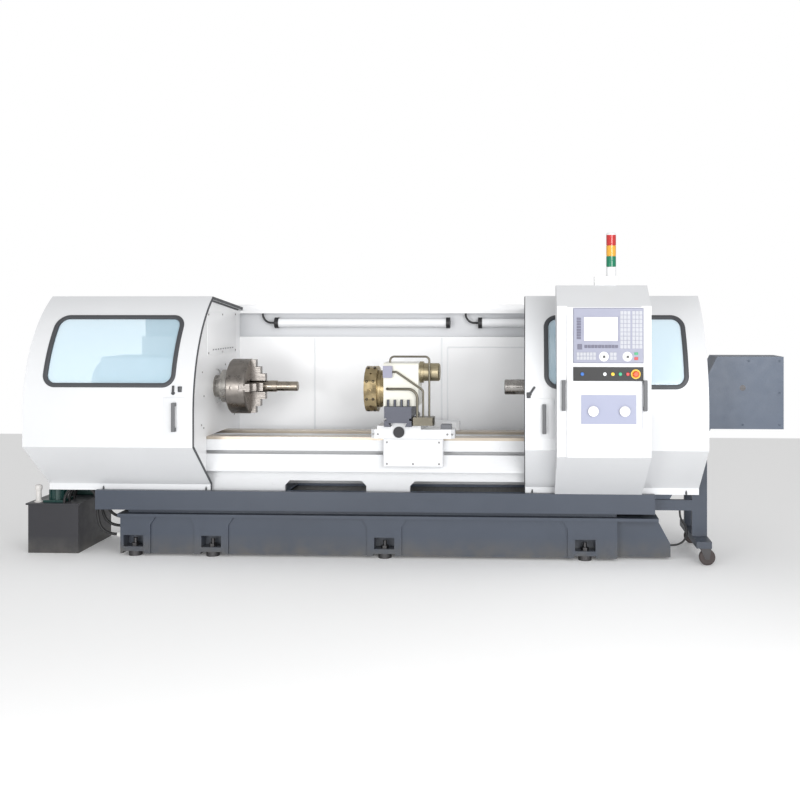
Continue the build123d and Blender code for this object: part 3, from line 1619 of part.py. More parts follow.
def conveyor_housing():
    """Sheet housing, open on top of the trough and below the head, with the drive's gearbox."""
    body = prism_y(conveyor_outline(0), conveyor_front_y, conveyor_back_y)
    body -= prism_y(conveyor_outline(conveyor_sheet), conveyor_front_y + conveyor_sheet,
                    conveyor_back_y - conveyor_sheet)
    body -= block(conveyor_left_x + trough_height, bed_right_x, conveyor_front_y + conveyor_sheet,
                  conveyor_back_y - conveyor_sheet, trough_bottom_z + trough_height / 2, way_top_z)
    body -= block(outlet_left_x, head_box_right_x - outlet_margin, conveyor_front_y + outlet_margin,
                  conveyor_back_y - outlet_margin, head_box_bottom_z - cut_overrun,
                  head_box_bottom_z + cut_overrun)
    half = gearbox_size / 2
    gearbox = block(
        drive_axis_x - half, drive_axis_x + half, conveyor_back_y, conveyor_back_y + gearbox_length,
        drive_axis_z - half, drive_axis_z + half,
    )
    body += chamfer(gearbox.edges().filter_by(Axis.Y), gearbox_size * gearbox_edge_share)
    return body - rod("back", drive_axis_x, conveyor_front_y, drive_axis_z, drive_shaft_radius + running_gap,
                      conveyor_width + gearbox_length / 2)


def conveyor_belt():
    """The hinged-plate belt: one loop round the drive shaft, down the incline and along the trough."""
    lean = math.tan(math.radians(90 - incline_angle))
    low_z = trough_bottom_z + trough_height / 2
    turn_x = incline_foot_x - incline_thickness / 2
    top_x = turn_x + lean * (drive_axis_z - low_z)
    path = Polyline(
        (
            conveyor_left_x + trough_height, low_z,
        ), (turn_x, low_z), (top_x, drive_axis_z), (drive_axis_x, drive_axis_z)
    )
    outer = offset(path, amount=belt_run_gap / 2, side=Side.BOTH)
    inner = offset(path, amount=belt_run_gap / 2 - chain_thickness, side=Side.BOTH)
    loop = make_face(outer.edges()) - make_face(inner.edges())
    room = conveyor_sheet * 2
    return prism_y(loop, conveyor_front_y + room, conveyor_back_y - room)


def conveyor_shaft():
    """The belt's drive shaft with a sprocket at each side."""
    front_y = conveyor_front_y + running_gap
    length = conveyor_width + gearbox_length / 2 - running_gap * 2
    body = rod("back", drive_axis_x, front_y, drive_axis_z, drive_shaft_radius, length)
    for y in (conveyor_front_y + sprocket_width * 2, conveyor_back_y - sprocket_width * 3):
        body += rod("back", drive_axis_x, y, drive_axis_z, sprocket_radius, sprocket_width)
    return body


def conveyor_stand():
    """Legs under the conveyor's head on a cross foot, with a tie back to the tray's end."""
    foot_z = caster_top_z
    top_z = head_box_bottom_z
    x1 = stand_left_x + stand_width
    body = block(
        stand_left_x, x1, stand_foot_front_y, stand_foot_back_y, foot_z, foot_z + stand_foot_height,
    )
    for y in (conveyor_front_y - stand_plate, conveyor_back_y):
        body += block(stand_left_x, x1, y, y + stand_plate, foot_z, top_z)
    tie_y = conveyor_front_y - stand_plate
    body += block(
        tray_right_x, stand_left_x, tie_y, tie_y + stand_plate, trough_bottom_z,
        trough_bottom_z + tie_height,
    )
    for y in caster_places():
        body -= rod("up", caster_x, y, foot_z - cut_overrun, caster_stem_radius + running_gap,
                    cut_overrun + caster_stem_length)
    return body


def caster_places():
    """The depth of each caster under the cross foot."""
    return (stand_foot_front_y + caster_inset, stand_foot_back_y - caster_inset)


def caster_fork(y):
    """Swivel fork: a stem into the foot, a plate and two cheeks with the axle between."""
    top_z = caster_top_z - slide_gap
    axle_x = caster_x + caster_offset
    half = caster_wheel_width / 2 + slide_gap
    plate_low_z = top_z - caster_fork_plate
    fork = rod("up", caster_x, y, plate_low_z, caster_stem_radius, caster_fork_plate + caster_stem_length)
    fork += block(caster_x - caster_offset, axle_x + caster_offset, y - half - caster_fork_plate,
                  y + half + caster_fork_plate, plate_low_z, top_z)
    for y0 in (y - half - caster_fork_plate, y + half):
        cheek = outline(
            (axle_x - caster_offset / 2, caster_wheel_radius - caster_offset / 2),
            (axle_x + caster_offset / 2, caster_wheel_radius - caster_offset / 2),
            (axle_x + caster_offset, top_z),
            (caster_x - caster_offset, top_z),
        )
        fork += prism_y(cheek, y0, y0 + caster_fork_plate)
    axle_length = (half + caster_fork_plate) * 2
    return fork + rod(
        "back", axle_x, y - half - caster_fork_plate, caster_wheel_radius, caster_axle_radius,
        axle_length,
    )


def caster_wheel(y):
    """Caster wheel with a rounded tread and an axle hole."""
    axle_x = caster_x + caster_offset
    y0 = y - caster_wheel_width / 2
    wheel = rod("back", axle_x, y0, caster_wheel_radius, caster_wheel_radius, caster_wheel_width)
    wheel = fillet(wheel.edges().filter_by(GeomType.CIRCLE), caster_wheel_width * tread_share)
    hole = rod("back", axle_x, y0 - cut_overrun, caster_wheel_radius, caster_axle_radius + running_gap,
               caster_wheel_width + cut_overrun * 2)
    return wheel - hole


def conveyor_cable():
    """The conveyor's supply cable, hanging from the tie to the base's end in one bow."""
    y = conveyor_front_y - stand_plate / 2
    sway = cable_run * math.sin(math.radians(cable_sway_angle))
    back = cable_run * math.sin(math.radians(45))
    start_x = base_right_x + cable_end_run + back - sway
    steps = [
        (-90, cable_start_run), (cable_sway_angle - 90, cable_run), (-90, cable_run),
        (-135, cable_run), (-180, cable_end_run),
    ]
    return bent_hose("conveyor cable", start_x, y, trough_bottom_z, steps, cable_radius)


nodes = {
    "base_plinth": base_plinth(),
    "levelling_feet": levelling_feet(),
    "chip_tray": chip_tray(),
    "bed_casting": bed_casting(),
    "rear_guard": rear_guard(),
    "work_lamps": work_lamps(),
    "headstock_casting": headstock_casting(),
    "headstock_bulkhead": headstock_bulkhead(),
    "belt_cover": belt_cover(),
    "main_motor": main_motor(),
    "drive_belt": drive_belt(),
    "motor_pulley": motor_pulley(),
    "spindle_shaft": spindle_shaft(),
    "chuck_body": chuck_body(),
    "test_bar": test_bar(),
    "z_screw": z_screw(),
    "z_drive": z_drive(),
    "saddle": saddle(),
    "apron": apron(),
    "x_screw": x_screw(),
    "turret_riser": turret_riser(),
    "turret_body": turret_body(),
    "turret_disc": turret_disc(),
    "turret_motor": turret_motor(),
    "turret_pipes": turret_pipes(),
    "tailstock_body": tailstock_body(),
    "tailstock_quill": tailstock_quill(),
    "left_door_shell": door_shell(
        left_door_x, left_door_width, left_door_x + left_door_width - door_handle_inset,
    ),
    "left_door_pane": door_pane(left_door_x, left_door_width),
    "right_door_shell": door_shell(right_door_x, right_door_width, right_door_x + right_handle_inset),
    "right_door_pane": door_pane(right_door_x, right_door_width),
    "control_cabinet": control_cabinet(),
    "operator_panels": operator_panels(),
    "signal_tower": signal_tower(),
    "blue_button": push_button(blue_x),
    "yellow_button": push_button(yellow_x),
    "green_button": push_button(green_x),
    "red_button": push_button(red_x),
    "stop_button": stop_button(),
    "feed_dial": turning_knob(
        feed_dial_x, dial_z, control_front_y - panel_thickness, dial_radius, dial_length,
    ),
    "speed_dial": turning_knob(
        speed_dial_x, dial_z, control_front_y - panel_thickness, dial_radius, dial_length,
    ),
    "x_handwheel": hand_wheel(x_wheel_x),
    "z_handwheel": hand_wheel(z_wheel_x),
    "coolant_tank": coolant_tank(),
    "coolant_pump": coolant_pump(),
    "coolant_hoses": coolant_hoses(),
    "electrical_cabinet": electrical_cabinet(),
    "conveyor_housing": conveyor_housing(),
    "conveyor_belt": conveyor_belt(),
    "conveyor_shaft": conveyor_shaft(),
    "conveyor_stand": conveyor_stand(),
    "conveyor_cable": conveyor_cable(),
}
for number, side in enumerate(("top", "front", "bottom", "back")):
    nodes[f"chuck_jaw_{side}"] = chuck_jaw(number)
for side, depth in zip(("front", "rear"), caster_places()):
    nodes[f"{side}_caster_fork"] = caster_fork(depth)
    nodes[f"{side}_caster_wheel"] = caster_wheel(depth)

os.makedirs("parts", exist_ok=True)
for name, shape in nodes.items():
    export_step(shape, f"parts/{name}.step")
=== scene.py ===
import json
import math

import bmesh
import bpy
import numpy as np
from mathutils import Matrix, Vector


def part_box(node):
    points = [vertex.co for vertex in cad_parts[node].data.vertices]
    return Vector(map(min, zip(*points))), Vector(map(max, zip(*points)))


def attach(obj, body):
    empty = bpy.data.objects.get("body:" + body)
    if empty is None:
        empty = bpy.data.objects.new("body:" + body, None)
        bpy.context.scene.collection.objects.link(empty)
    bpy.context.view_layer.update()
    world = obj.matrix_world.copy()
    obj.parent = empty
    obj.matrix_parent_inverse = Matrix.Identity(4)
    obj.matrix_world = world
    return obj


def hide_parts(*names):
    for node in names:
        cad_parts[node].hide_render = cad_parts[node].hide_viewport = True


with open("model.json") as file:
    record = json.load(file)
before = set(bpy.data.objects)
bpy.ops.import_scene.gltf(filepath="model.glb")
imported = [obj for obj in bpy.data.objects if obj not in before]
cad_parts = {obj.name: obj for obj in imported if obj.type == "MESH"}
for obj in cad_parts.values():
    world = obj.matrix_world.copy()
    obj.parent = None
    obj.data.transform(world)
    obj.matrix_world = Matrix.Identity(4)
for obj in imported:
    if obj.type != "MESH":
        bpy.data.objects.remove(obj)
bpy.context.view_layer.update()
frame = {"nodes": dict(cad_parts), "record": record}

bl_info = {
    "name": "Flat-bed lathe dressing",
    "version": (1, 0, 0),
    "blender": (4, 5, 0),
    "location": "View3D > Sidebar > Lathe",
    "description": "Finishes, trim, hoses and stage for a flat-bed turning lathe",
    "category": "Object",
}

RECORD_JOINTS = {joint["name"]: joint for joint in frame["record"]["behaviour"]["joints"]}


def joint_place(name):
    """A joint's place in the rest pose, in metres."""
    return np.array(RECORD_JOINTS[name]["pos_m"])


def corners(node):
    """A node's lowest and highest corners as two arrays."""
    low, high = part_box(node)
    return np.array(low), np.array(high)


# Settings

def colour_setting(name, description, default):
    """A colour that a user can change."""
    return bpy.props.FloatVectorProperty(
        name=name, description=description, subtype="COLOR", size=3, default=default, min=0.0, max=1.0)


def length_setting(name, description, default, low, high):
    """A length that a user can change."""
    return bpy.props.FloatProperty(
        name=name, description=description, subtype="DISTANCE", default=default, min=low, max=high)


class LatheFinish(bpy.types.PropertyGroup):
    """Colours of the machine's finishes."""

    white: colour_setting("Cover white", "Powder coat of the covers and doors", (0.735, 0.745, 0.76))
    # The inside coat is the covers' white painted lighter: painted light for the brighter inside of the hood.
    inner_white: colour_setting(
        "Inner white", "Lighter coat of the guards inside the hood", (0.92, 0.925, 0.935))
    base: colour_setting("Base grey", "Blue-grey paint of the base and tray", (0.052, 0.065, 0.091))
    conveyor: colour_setting("Conveyor grey", "Blue-grey paint of the conveyor", (0.096, 0.122, 0.170))
    tank: colour_setting("Tank grey", "Dark paint of the coolant tank", (0.030, 0.030, 0.036))
    bronze: colour_setting("Tool disc", "Oiled bronze colour of the tool disc", (0.50, 0.395, 0.225))
    lilac: colour_setting("Control face", "Lilac-grey face of the control unit", (0.30, 0.31, 0.40))
    glass: colour_setting("Window tint", "Tint of the door windows", (0.60, 0.81, 0.93))


class LatheTrim(bpy.types.PropertyGroup):
    """Sizes of the small trim."""

    gasket_width: length_setting(
        "Gasket width", "Width of the rubber profile round a window", 0.030, 0.005, 0.06)
    gasket_height: length_setting(
        "Gasket height", "How far the rubber profile stands proud of the door", 0.007, 0.002, 0.02)
    screw_radius: length_setting(
        "Cover screw radius", "Radius of a button-head cover screw", 0.007, 0.002, 0.02)
    key_gap: length_setting(
        "Key gap", "Gap between two keys of the control unit", 0.0028, 0.001, 0.01)


class LatheStage(bpy.types.PropertyGroup):
    """The camera, light and floor."""

    camera_place: bpy.props.FloatVectorProperty(
        name="Camera", description="Where the camera stands", subtype="TRANSLATION", unit="LENGTH",
        size=3, default=(0.876, -7.165, 1.703))
    camera_yaw: bpy.props.FloatProperty(
        name="Camera yaw", description="Turn of the camera to the left of the machine's back",
        subtype="ANGLE", default=math.radians(2.7))
    focal_length: bpy.props.FloatProperty(
        name="Focal length", description="Lens for a 36 mm sensor", default=45.0, min=10.0, max=200.0)
    ambient: bpy.props.FloatProperty(
        name="Ambient light", description="Strength of the even light from all round",
        default=0.60, min=0.0, max=4.0)
    floor_size: length_setting("Floor", "Length of the floor's side", 13.0, 5.0, 100.0)


GROUPS = (("lathe_finish", LatheFinish), ("lathe_trim", LatheTrim), ("lathe_stage", LatheStage))


def paint(name):
    """A finish's colour from the settings."""
    return tuple(getattr(bpy.context.scene.lathe_finish, name))


# Meshes from whole arrays. A shape is an array of points and a list of faces.

# Angles in degrees past which an edge stays sharp
NODE_SMOOTH = 28.0
PIECE_SMOOTH = 35.0
SEAL_SMOOTH = 50.0
GASKET_SMOOTH = 60.0
ROD_BEVEL_SHARE = 0.3
BLOCK_ROUND_SHARE = 0.98


def grid_faces(rows, columns, wrap_rows, wrap_columns):
    """Quads of a grid of rows by columns points, each joined to its next row and column."""
    i, j = np.meshgrid(np.arange(rows if wrap_rows else rows - 1),
                       np.arange(columns if wrap_columns else columns - 1), indexing="ij")
    k = (i + 1) % rows
    m = (j + 1) % columns
    quads = np.stack([i * columns + j, k * columns + j, k * columns + m, i * columns + m], axis=-1)
    return quads.reshape(-1, 4).tolist()


def capped_faces(rows, columns):
    """Quads of rows that are each closed round, with one face over the first row and one over the last."""
    row = np.arange(columns)
    return grid_faces(rows, columns, False, True) + [row.tolist(), (row + (rows - 1) * columns).tolist()]


def add_piece(name, shape, body, material, smooth=PIECE_SMOOTH):
    """Puts a shape into a mesh object that rides on a body."""
    points, faces = shape
    mesh = bpy.data.meshes.new(name)
    mesh.from_pydata(points.tolist(), [], faces)
    mesh.validate()
    shells = bmesh.new()
    shells.from_mesh(mesh)
    bmesh.ops.recalc_face_normals(shells, faces=shells.faces)
    shells.to_mesh(mesh)
    shells.free()
    mesh.shade_smooth()
    mesh.set_sharp_from_angle(angle=math.radians(smooth))
    mesh.materials.append(material)
    piece = bpy.data.objects.new(name, mesh)
    bpy.context.scene.collection.objects.link(piece)
    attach(piece, body)
    return piece


def joined(shapes):
    """Several shapes as one, with the face numbers moved on."""
    points = [shape[0] for shape in shapes]
    firsts = np.cumsum([0] + [len(part) for part in points]).tolist()
    faces = [[v + first for v in face] for first, shape in zip(firsts, shapes) for face in shape[1]]
    return np.concatenate(points), faces


def repeated(shape, places):
    """One shape copied to every place, by adding the place to its points."""
    points, faces = shape
    return joined([(points + np.asarray(place), faces) for place in places])


def turned(profile, direction, segments=32):
    """A closed turned shape: a profile of (radius, height) pairs, from the axis and back to it, carried
    round a direction. A point is radius times (cos a, sin a) across the direction, plus height along it."""
    profile = np.asarray(profile, dtype=float)
    along = np.asarray(direction, dtype=float) / np.linalg.norm(direction)
    upright = abs(along[2]) > 0.9
    first = np.cross((1.0, 0.0, 0.0) if upright else (0.0, 0.0, 1.0), along)
    first /= np.linalg.norm(first)
    second = np.cross(along, first)
    angle = np.linspace(0.0, 2.0 * math.pi, segments, endpoint=False)
    ring = np.outer(np.cos(angle), first) + np.outer(np.sin(angle), second)
    rim = profile[1:-1]
    rows = ring * rim[:, 0, None, None] + along * rim[:, 1, None, None]
    points = np.concatenate([rows.reshape(-1, 3), along * profile[[0, -1], 1, None]])
    bottom = len(rim) * segments
    around = np.arange(segments)
    after = (around + 1) % segments
    last = bottom - segments
    faces = grid_faces(len(rim), segments, False, True)
    faces += np.column_stack([np.full(segments, bottom), after, around]).tolist()
    faces += np.column_stack([np.full(segments, bottom + 1), last + around, last + after]).tolist()
    return points, faces


def rounded_block(size, radius, centre=(0.0, 0.0, 0.0), around=4, up=3):
    """A block with rounded edges: a sphere's grid of directions, each coordinate pushed out from the centre
    by half the size less the radius, on the side that the direction points to. Around and up are the points
    on a quarter turn."""
    half = np.asarray(size, dtype=float) / 2.0
    radius = min(radius, half.min() * BLOCK_ROUND_SHARE)
    core = half - radius
    quarter_turn = math.pi / 2.0
    angle = (np.arange(4)[:, None] * quarter_turn + np.linspace(0.0, quarter_turn, around)).ravel()
    sign_x = np.repeat([1.0, -1.0, -1.0, 1.0], around)
    sign_y = np.repeat([1.0, 1.0, -1.0, -1.0], around)
    lift = np.linspace(0.0, quarter_turn, up)
    tilt = np.concatenate([-lift[::-1], lift])[:, None]
    sign_z = np.repeat([-1.0, 1.0], up)[:, None]
    x = radius * np.cos(tilt) * np.cos(angle) + core[0] * sign_x
    y = radius * np.cos(tilt) * np.sin(angle) + core[1] * sign_y
    z = np.broadcast_to(radius * np.sin(tilt) + core[2] * sign_z, x.shape)
    points = np.stack([x, y, z], axis=-1).reshape(-1, 3) + np.asarray(centre)
    return points, capped_faces(2 * up, 4 * around)


def carried(path, sides, ups, profile, closed=True):
    """A profile of (side, up) pairs carried along a path. A point is the path's place, plus side times the
    side direction there, plus up times the up direction there."""
    path, sides, ups, profile = (np.asarray(part, dtype=float) for part in (path, sides, ups, profile))
    points = path[:, None] + profile[:, 0, None] * sides[:, None] + profile[:, 1, None] * ups[:, None]
    rows, columns = len(path), len(profile)
    faces = grid_faces(rows, columns, True, True) if closed else capped_faces(rows, columns)
    return points.reshape(-1, 3), faces


def rod_between(start, end, radius):
    """A round bar with bevelled ends: a turned profile from one place to another."""
    line = np.asarray(end) - np.asarray(start)
    length = np.linalg.norm(line)
    bevel = radius * ROD_BEVEL_SHARE
    profile = [(0.0, 0.0), (radius - bevel, 0.0), (radius, bevel), (radius, length - bevel),
               (radius - bevel, length), (0.0, length)]
    return repeated(turned(profile, line, 16), [start])


# A button head's profile as shares of its radius: a domed rim that turns down into a flat pit
SCREW_PROFILE_SHARES = np.array(
    [(1.0, 0.18), (0.86, 0.42), (0.55, 0.55), (0.5, 0.5), (0.46, 0.12), (0.0, 0.12)])
SCREW_SINK = 0.001


def screw_head(direction):
    """A button-head screw with a round pit: the shares times the radius, turned."""
    radius = bpy.context.scene.lathe_trim.screw_radius
    profile = [(0.0, -SCREW_SINK), (radius, -SCREW_SINK), *(SCREW_PROFILE_SHARES * radius)]
    return turned(profile, direction, 18)


# Materials

# Texture scales in repeats to the metre
DRIFT_SCALE = 1.7
SMEAR_SCALE = 5.0
DIRT_SCALE = 9.0
STAIN_SCALE = 11.0
GLOSS_SCALE = 14.0
RING_STAIN_SCALE = 16.0
RING_SCALE = 130.0
STREAK_LONG_SCALE = 6.0
STREAK_FINE_SCALE = 700.0
COVER_GRAIN = 170.0
BASE_GRAIN = 160.0
HOSE_GRAIN = 300.0
# Where a noise's values mostly lie
NOISE_LOW = 0.3
NOISE_HIGH = 0.7
NOISE_ROUGHNESS = 0.55
# Bumps as a strength and a depth in metres
PEEL_BUMP = (0.05, 0.0003)
STREAK_BUMP = (0.06, 0.0002)
RING_BUMP = (0.10, 0.0004)
# How far the roughness strays from the one that a finish is given
COAT_LESS, COAT_MORE = 0.05, 0.07
STREAK_LESS, STREAK_MORE = 0.06, 0.12
RING_MORE = 0.16
SMEAR_GLOSS = (0.03, 0.10)
STAIN_SHADE = 0.8
RING_WOBBLE = 0.6
FLOOR_DIRT = (0.10, 0.095, 0.085)
DIRT_COVER = (0.2, 1.0)
GLASS_INDEX = 1.46
GLASS_ALPHA = 0.42
OPEN = (None, None)


def new_material(name):
    """A node material, with its tree, its shader and its Object coordinates."""
    material = bpy.data.materials.new(name)
    material.use_nodes = True
    tree = material.node_tree
    where = tree.nodes.new("ShaderNodeTexCoord").outputs["Object"]
    return material, tree, tree.nodes["Principled BSDF"], where


def feed(tree, socket, value):
    """Links a socket into an input, or sets the input to a constant."""
    if isinstance(value, bpy.types.NodeSocket):
        tree.links.new(value, socket)
    elif socket.type == "RGBA":
        socket.default_value = (*value, 1.0)
    else:
        socket.default_value = value


def new_node(tree, kind, inputs, **options):
    """A shader node with its options set and then its inputs fed, by name or number."""
    node = tree.nodes.new(f"ShaderNode{kind}")
    for name, value in options.items():
        setattr(node, name, value)
    for key, value in inputs.items():
        feed(tree, node.inputs[key], value)
    return node


def noise(tree, source, scale, detail=3.0):
    """A noise texture's factor on given coordinates."""
    inputs = {"Vector": source, "Scale": scale, "Detail": detail, "Roughness": NOISE_ROUGHNESS}
    return new_node(tree, "TexNoise", inputs).outputs["Fac"]


def ranged(tree, source, low, high, start=NOISE_LOW, end=NOISE_HIGH):
    """A factor spread so that start to end becomes low to high."""
    inputs = {"Value": source, "From Min": start, "From Max": end, "To Min": low, "To Max": high}
    return new_node(tree, "MapRange", inputs).outputs["Result"]


def mixed(tree, factor, first, second):
    """Two colours mixed by a factor."""
    return new_node(tree, "Mix", {0: factor, 6: first, 7: second}, data_type="RGBA").outputs[2]


def mixed_number(tree, factor, first, second):
    """Two numbers mixed by a factor."""
    return new_node(tree, "Mix", {0: factor, 2: first, 3: second}, data_type="FLOAT").outputs[0]


def arithmetic(tree, kind, first, second):
    """One arithmetic node on two sockets or numbers."""
    return new_node(tree, "Math", {0: first, 1: second}, operation=kind).outputs[0]


def darker(colour, share):
    """A colour times a share."""
    return tuple(part * share for part in colour)


def bumped(tree, shader, height, bump_size):
    """Feeds a height into the shader's normal, with a bump's strength and depth."""
    strength, distance = bump_size
    bump = new_node(tree, "Bump", {"Strength": strength, "Distance": distance, "Height": height})
    feed(tree, shader.inputs["Normal"], bump.outputs["Normal"])


def around(middle, half):
    """The limits that lie a half width to each side of a middle."""
    return middle - half, middle + half


def zone(colour, rough, metal=0.0, x=OPEN, y=OPEN, z=OPEN):
    """A box of a node with a finish of its own. Each axis has a low and a high limit; None is no limit."""
    return {"colour": colour, "rough": rough, "metal": metal, "limits": (x, y, z)}


def zone_mask(tree, source, limits):
    """1 inside a box of the object's own coordinates, 0 outside."""
    split = new_node(tree, "SeparateXYZ", {0: source})
    mask = None
    for place, axis_limits in zip(split.outputs, limits):
        for limit, kind in zip(axis_limits, ("GREATER_THAN", "LESS_THAN")):
            if limit is not None:
                test = arithmetic(tree, kind, place, float(limit))
                mask = test if mask is None else arithmetic(tree, "MULTIPLY", mask, test)
    return mask


def coated(name, colour, rough=0.34, shade=0.93, zones=(), grain=420.0, grime=None):
    """Powder coat or paint: a slow drift of tone, a fine orange-peel bump and uneven gloss. A zone gives a
    box of the node another colour, roughness and metal. Grime is the height that the floor's dirt reaches."""
    material, tree, shader, where = new_material(name)
    drift = ranged(tree, noise(tree, where, DRIFT_SCALE, 4.0), 0.0, 1.0)
    tone = mixed(tree, drift, darker(colour, shade), colour)
    if grime is not None:
        height = new_node(tree, "SeparateXYZ", {0: where}).outputs[2]
        spots = ranged(tree, noise(tree, where, DIRT_SCALE, 6.0), *DIRT_COVER)
        spots = arithmetic(tree, "MULTIPLY", ranged(tree, height, 1.0, 0.0, 0.0, grime), spots)
        tone = mixed(tree, spots, tone, FLOOR_DIRT)
    gloss = ranged(tree, noise(tree, where, GLOSS_SCALE, 5.0), rough - COAT_LESS, rough + COAT_MORE)
    metal = 0.0
    for part in zones:
        mask = zone_mask(tree, where, part["limits"])
        tone = mixed(tree, mask, tone, part["colour"])
        gloss = mixed_number(tree, mask, gloss, part["rough"])
        if part["metal"] != metal:
            metal = mixed_number(tree, mask, metal, part["metal"])
    feed(tree, shader.inputs["Base Color"], tone)
    feed(tree, shader.inputs["Roughness"], gloss)
    feed(tree, shader.inputs["Metallic"], metal)
    bumped(tree, shader, noise(tree, where, grain, 2.0), PEEL_BUMP)
    return material


def moulded(name, colour, rough=0.36, shade=0.9, grain=900.0, zones=()):
    """Moulded plastic or rubber: a coat with a finer grain."""
    return coated(name, colour, rough, shade, zones, grain)


def white_cover(name, zones=(), inside=False):
    """White powder coat with the given zones; inside the hood a lighter copy of the same coat, as painted
    light.
    """
    return coated(name, paint("inner_white" if inside else "white"), 0.34, 0.965, zones, COVER_GRAIN)


def machined(name, colour, rough=0.30, along=(1.0, 0.0, 0.0), shade=0.72):
    """Ground or turned metal: fine streaks stretched along one direction, and stains from oil."""
    material, tree, shader, where = new_material(name)
    scale = tuple(STREAK_LONG_SCALE if part else STREAK_FINE_SCALE for part in along)
    stretch = new_node(tree, "Mapping", {"Vector": where, "Scale": scale}).outputs["Vector"]
    streak = ranged(tree, noise(tree, stretch, 1.0), 0.0, 1.0)
    stain = ranged(tree, noise(tree, where, STAIN_SCALE, 6.0), 0.0, 1.0)
    tone = mixed(tree, streak, darker(colour, shade), colour)
    feed(tree, shader.inputs["Base Color"], mixed(tree, stain, darker(colour, STAIN_SHADE), tone))
    feed(tree, shader.inputs["Roughness"], ranged(tree, streak, rough - STREAK_LESS, rough + STREAK_MORE))
    feed(tree, shader.inputs["Metallic"], 1.0)
    bumped(tree, shader, streak, STREAK_BUMP)
    return material


def ringed(name, colour, centre, rough=0.28, shade=0.6):
    """Turned metal: fine tool rings round the X axis through a centre, with an oily drift of tone."""
    material, tree, shader, where = new_material(name)
    shift = new_node(tree, "Mapping", {"Vector": where, "Location": tuple(-float(part) for part in centre)})
    inputs = {"Vector": shift.outputs["Vector"], "Scale": RING_SCALE, "Distortion": RING_WOBBLE}
    rings = new_node(tree, "TexWave", inputs, wave_type="RINGS", rings_direction="X").outputs["Fac"]
    stain = ranged(tree, noise(tree, where, RING_STAIN_SCALE, 6.0), 0.0, 1.0)
    feed(tree, shader.inputs["Base Color"], mixed(tree, stain, darker(colour, shade), colour))
    feed(tree, shader.inputs["Roughness"], ranged(tree, stain, rough, rough + RING_MORE))
    feed(tree, shader.inputs["Metallic"], 1.0)
    bumped(tree, shader, rings, RING_BUMP)
    return material


def window_glass(name):
    """Tinted safety glass: a thin milky film that lets most light through, with smears in its gloss."""
    material, tree, shader, where = new_material(name)
    smear = ranged(tree, noise(tree, where, SMEAR_SCALE, 5.0), *SMEAR_GLOSS)
    for key, value in (("Roughness", smear), ("Base Color", paint("glass")), ("IOR", GLASS_INDEX),
                       ("Alpha", GLASS_ALPHA)):
        feed(tree, shader.inputs[key], value)
    return material


def dress(node, material):
    """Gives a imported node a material."""
    mesh = frame["nodes"][node].data
    mesh.materials.clear()
    mesh.materials.append(material)
    mesh.shade_smooth()
    mesh.set_sharp_from_angle(angle=math.radians(NODE_SMOOTH))


# Places on the machine, in metres from the spindle's nose and axis or the floor, as the solids have them
SPINDLE = joint_place("spindle_turn")
NOSE_X, AXIS_Y, AXIS_Z = SPINDLE
DOORS = ("left_door", "right_door")
DOOR_SPAN = {door: (corners(f"{door}_shell")[0][0], corners(f"{door}_shell")[1][0]) for door in DOORS}
DOOR_HANDLE_X = {"left_door": NOSE_X - 0.209, "right_door": NOSE_X + 2.227}
HANDLE_REACH = 0.040
HANDLE_Z = 1.010
HOOD_WALL = 0.024
HOOD_BULGE_Y = corners("left_door_shell")[0][1] + HANDLE_REACH
HOOD_BULGE_Z = 1.030
HOOD_CREST_Y = AXIS_Y - 0.151
HOOD_CREST_Z = corners("left_door_shell")[1][2]
HOOD_RISE = HOOD_CREST_Z - HOOD_BULGE_Z
HOOD_RUN = HOOD_CREST_Y - HOOD_BULGE_Y
HOOD_RADIUS = (HOOD_RUN ** 2 + HOOD_RISE ** 2) / (2.0 * HOOD_RUN)
ROOF_SLOPE = 0.074 / 0.755
KNEE_Z = 0.806
SKIRT_Y = AXIS_Y - 0.197
SKIRT_TOP_Z = 0.500
TRAY_TOP_Z = 0.455
SEAL_FOOT_Z = TRAY_TOP_Z + 0.006
WINDOW_MARGIN = 0.148
WINDOW_LOW_Z = 1.226
WINDOW_HIGH_Z = 1.662
WINDOW_ROUND = 0.062
BULKHEAD_X = NOSE_X - 0.106
GUARD_Y = AXIS_Y + 0.570
GUARD_RECESS_Y = AXIS_Y + 0.575
GUARD_RECESS_Z = (1.505, 1.70)
WAY_TOP_Z = AXIS_Z - 0.333
WAY_DEPTH = 0.020
APRON_Y = AXIS_Y - 0.300
SADDLE_BACK_Y = AXIS_Y + 0.330
SADDLE_RIGHT_X = corners("saddle")[1][0]
OILER_X = (SADDLE_RIGHT_X - 0.0975, SADDLE_RIGHT_X - 0.0215)
OILER_Y = (APRON_Y + 0.0215, APRON_Y + 0.0845)
OILER_LOW_Z = WAY_TOP_Z + 0.063
TOOL_DISC = joint_place("disc_index")
TURRET_FRONT_Y = AXIS_Y - 0.323
CONVEYOR_FRONT_Y = AXIS_Y - 0.112
CONVEYOR_BACK_Y = AXIS_Y + 0.188
CABINET_PLINTH_Z = 0.0995
CABINET_DOOR_Y = AXIS_Y + 0.980
TANK_LID_Z = 0.352
LAMP_STARTS = (NOSE_X + 0.166, NOSE_X + 1.742)
LAMP_LENGTH = 1.360
LAMP_CLAMP = 0.0305
CONTROL_FRONT_Y = AXIS_Y - 0.800
CONTROL_EDGE_Y = CONTROL_FRONT_Y + 0.014
PANEL_X = NOSE_X + 2.404
PANEL_WIDTH = 0.436
PANEL_Z = 1.384
PANEL_HEIGHT = 0.344
PANEL_FRONT_Y = CONTROL_FRONT_Y - 0.014
BUTTON_STRIP_Y = CONTROL_FRONT_Y - 0.0083
BUTTON_STRIP_Z = (1.2715, 1.3595)
PILOT_LAMP_X = NOSE_X + 2.600
STOP_RING_X = NOSE_X + 2.7925
HANDWHEEL_PLATE_TOP_Z = 1.19
TOWER_LENS_TOP_Z = corners("signal_tower")[1][2] - 0.014
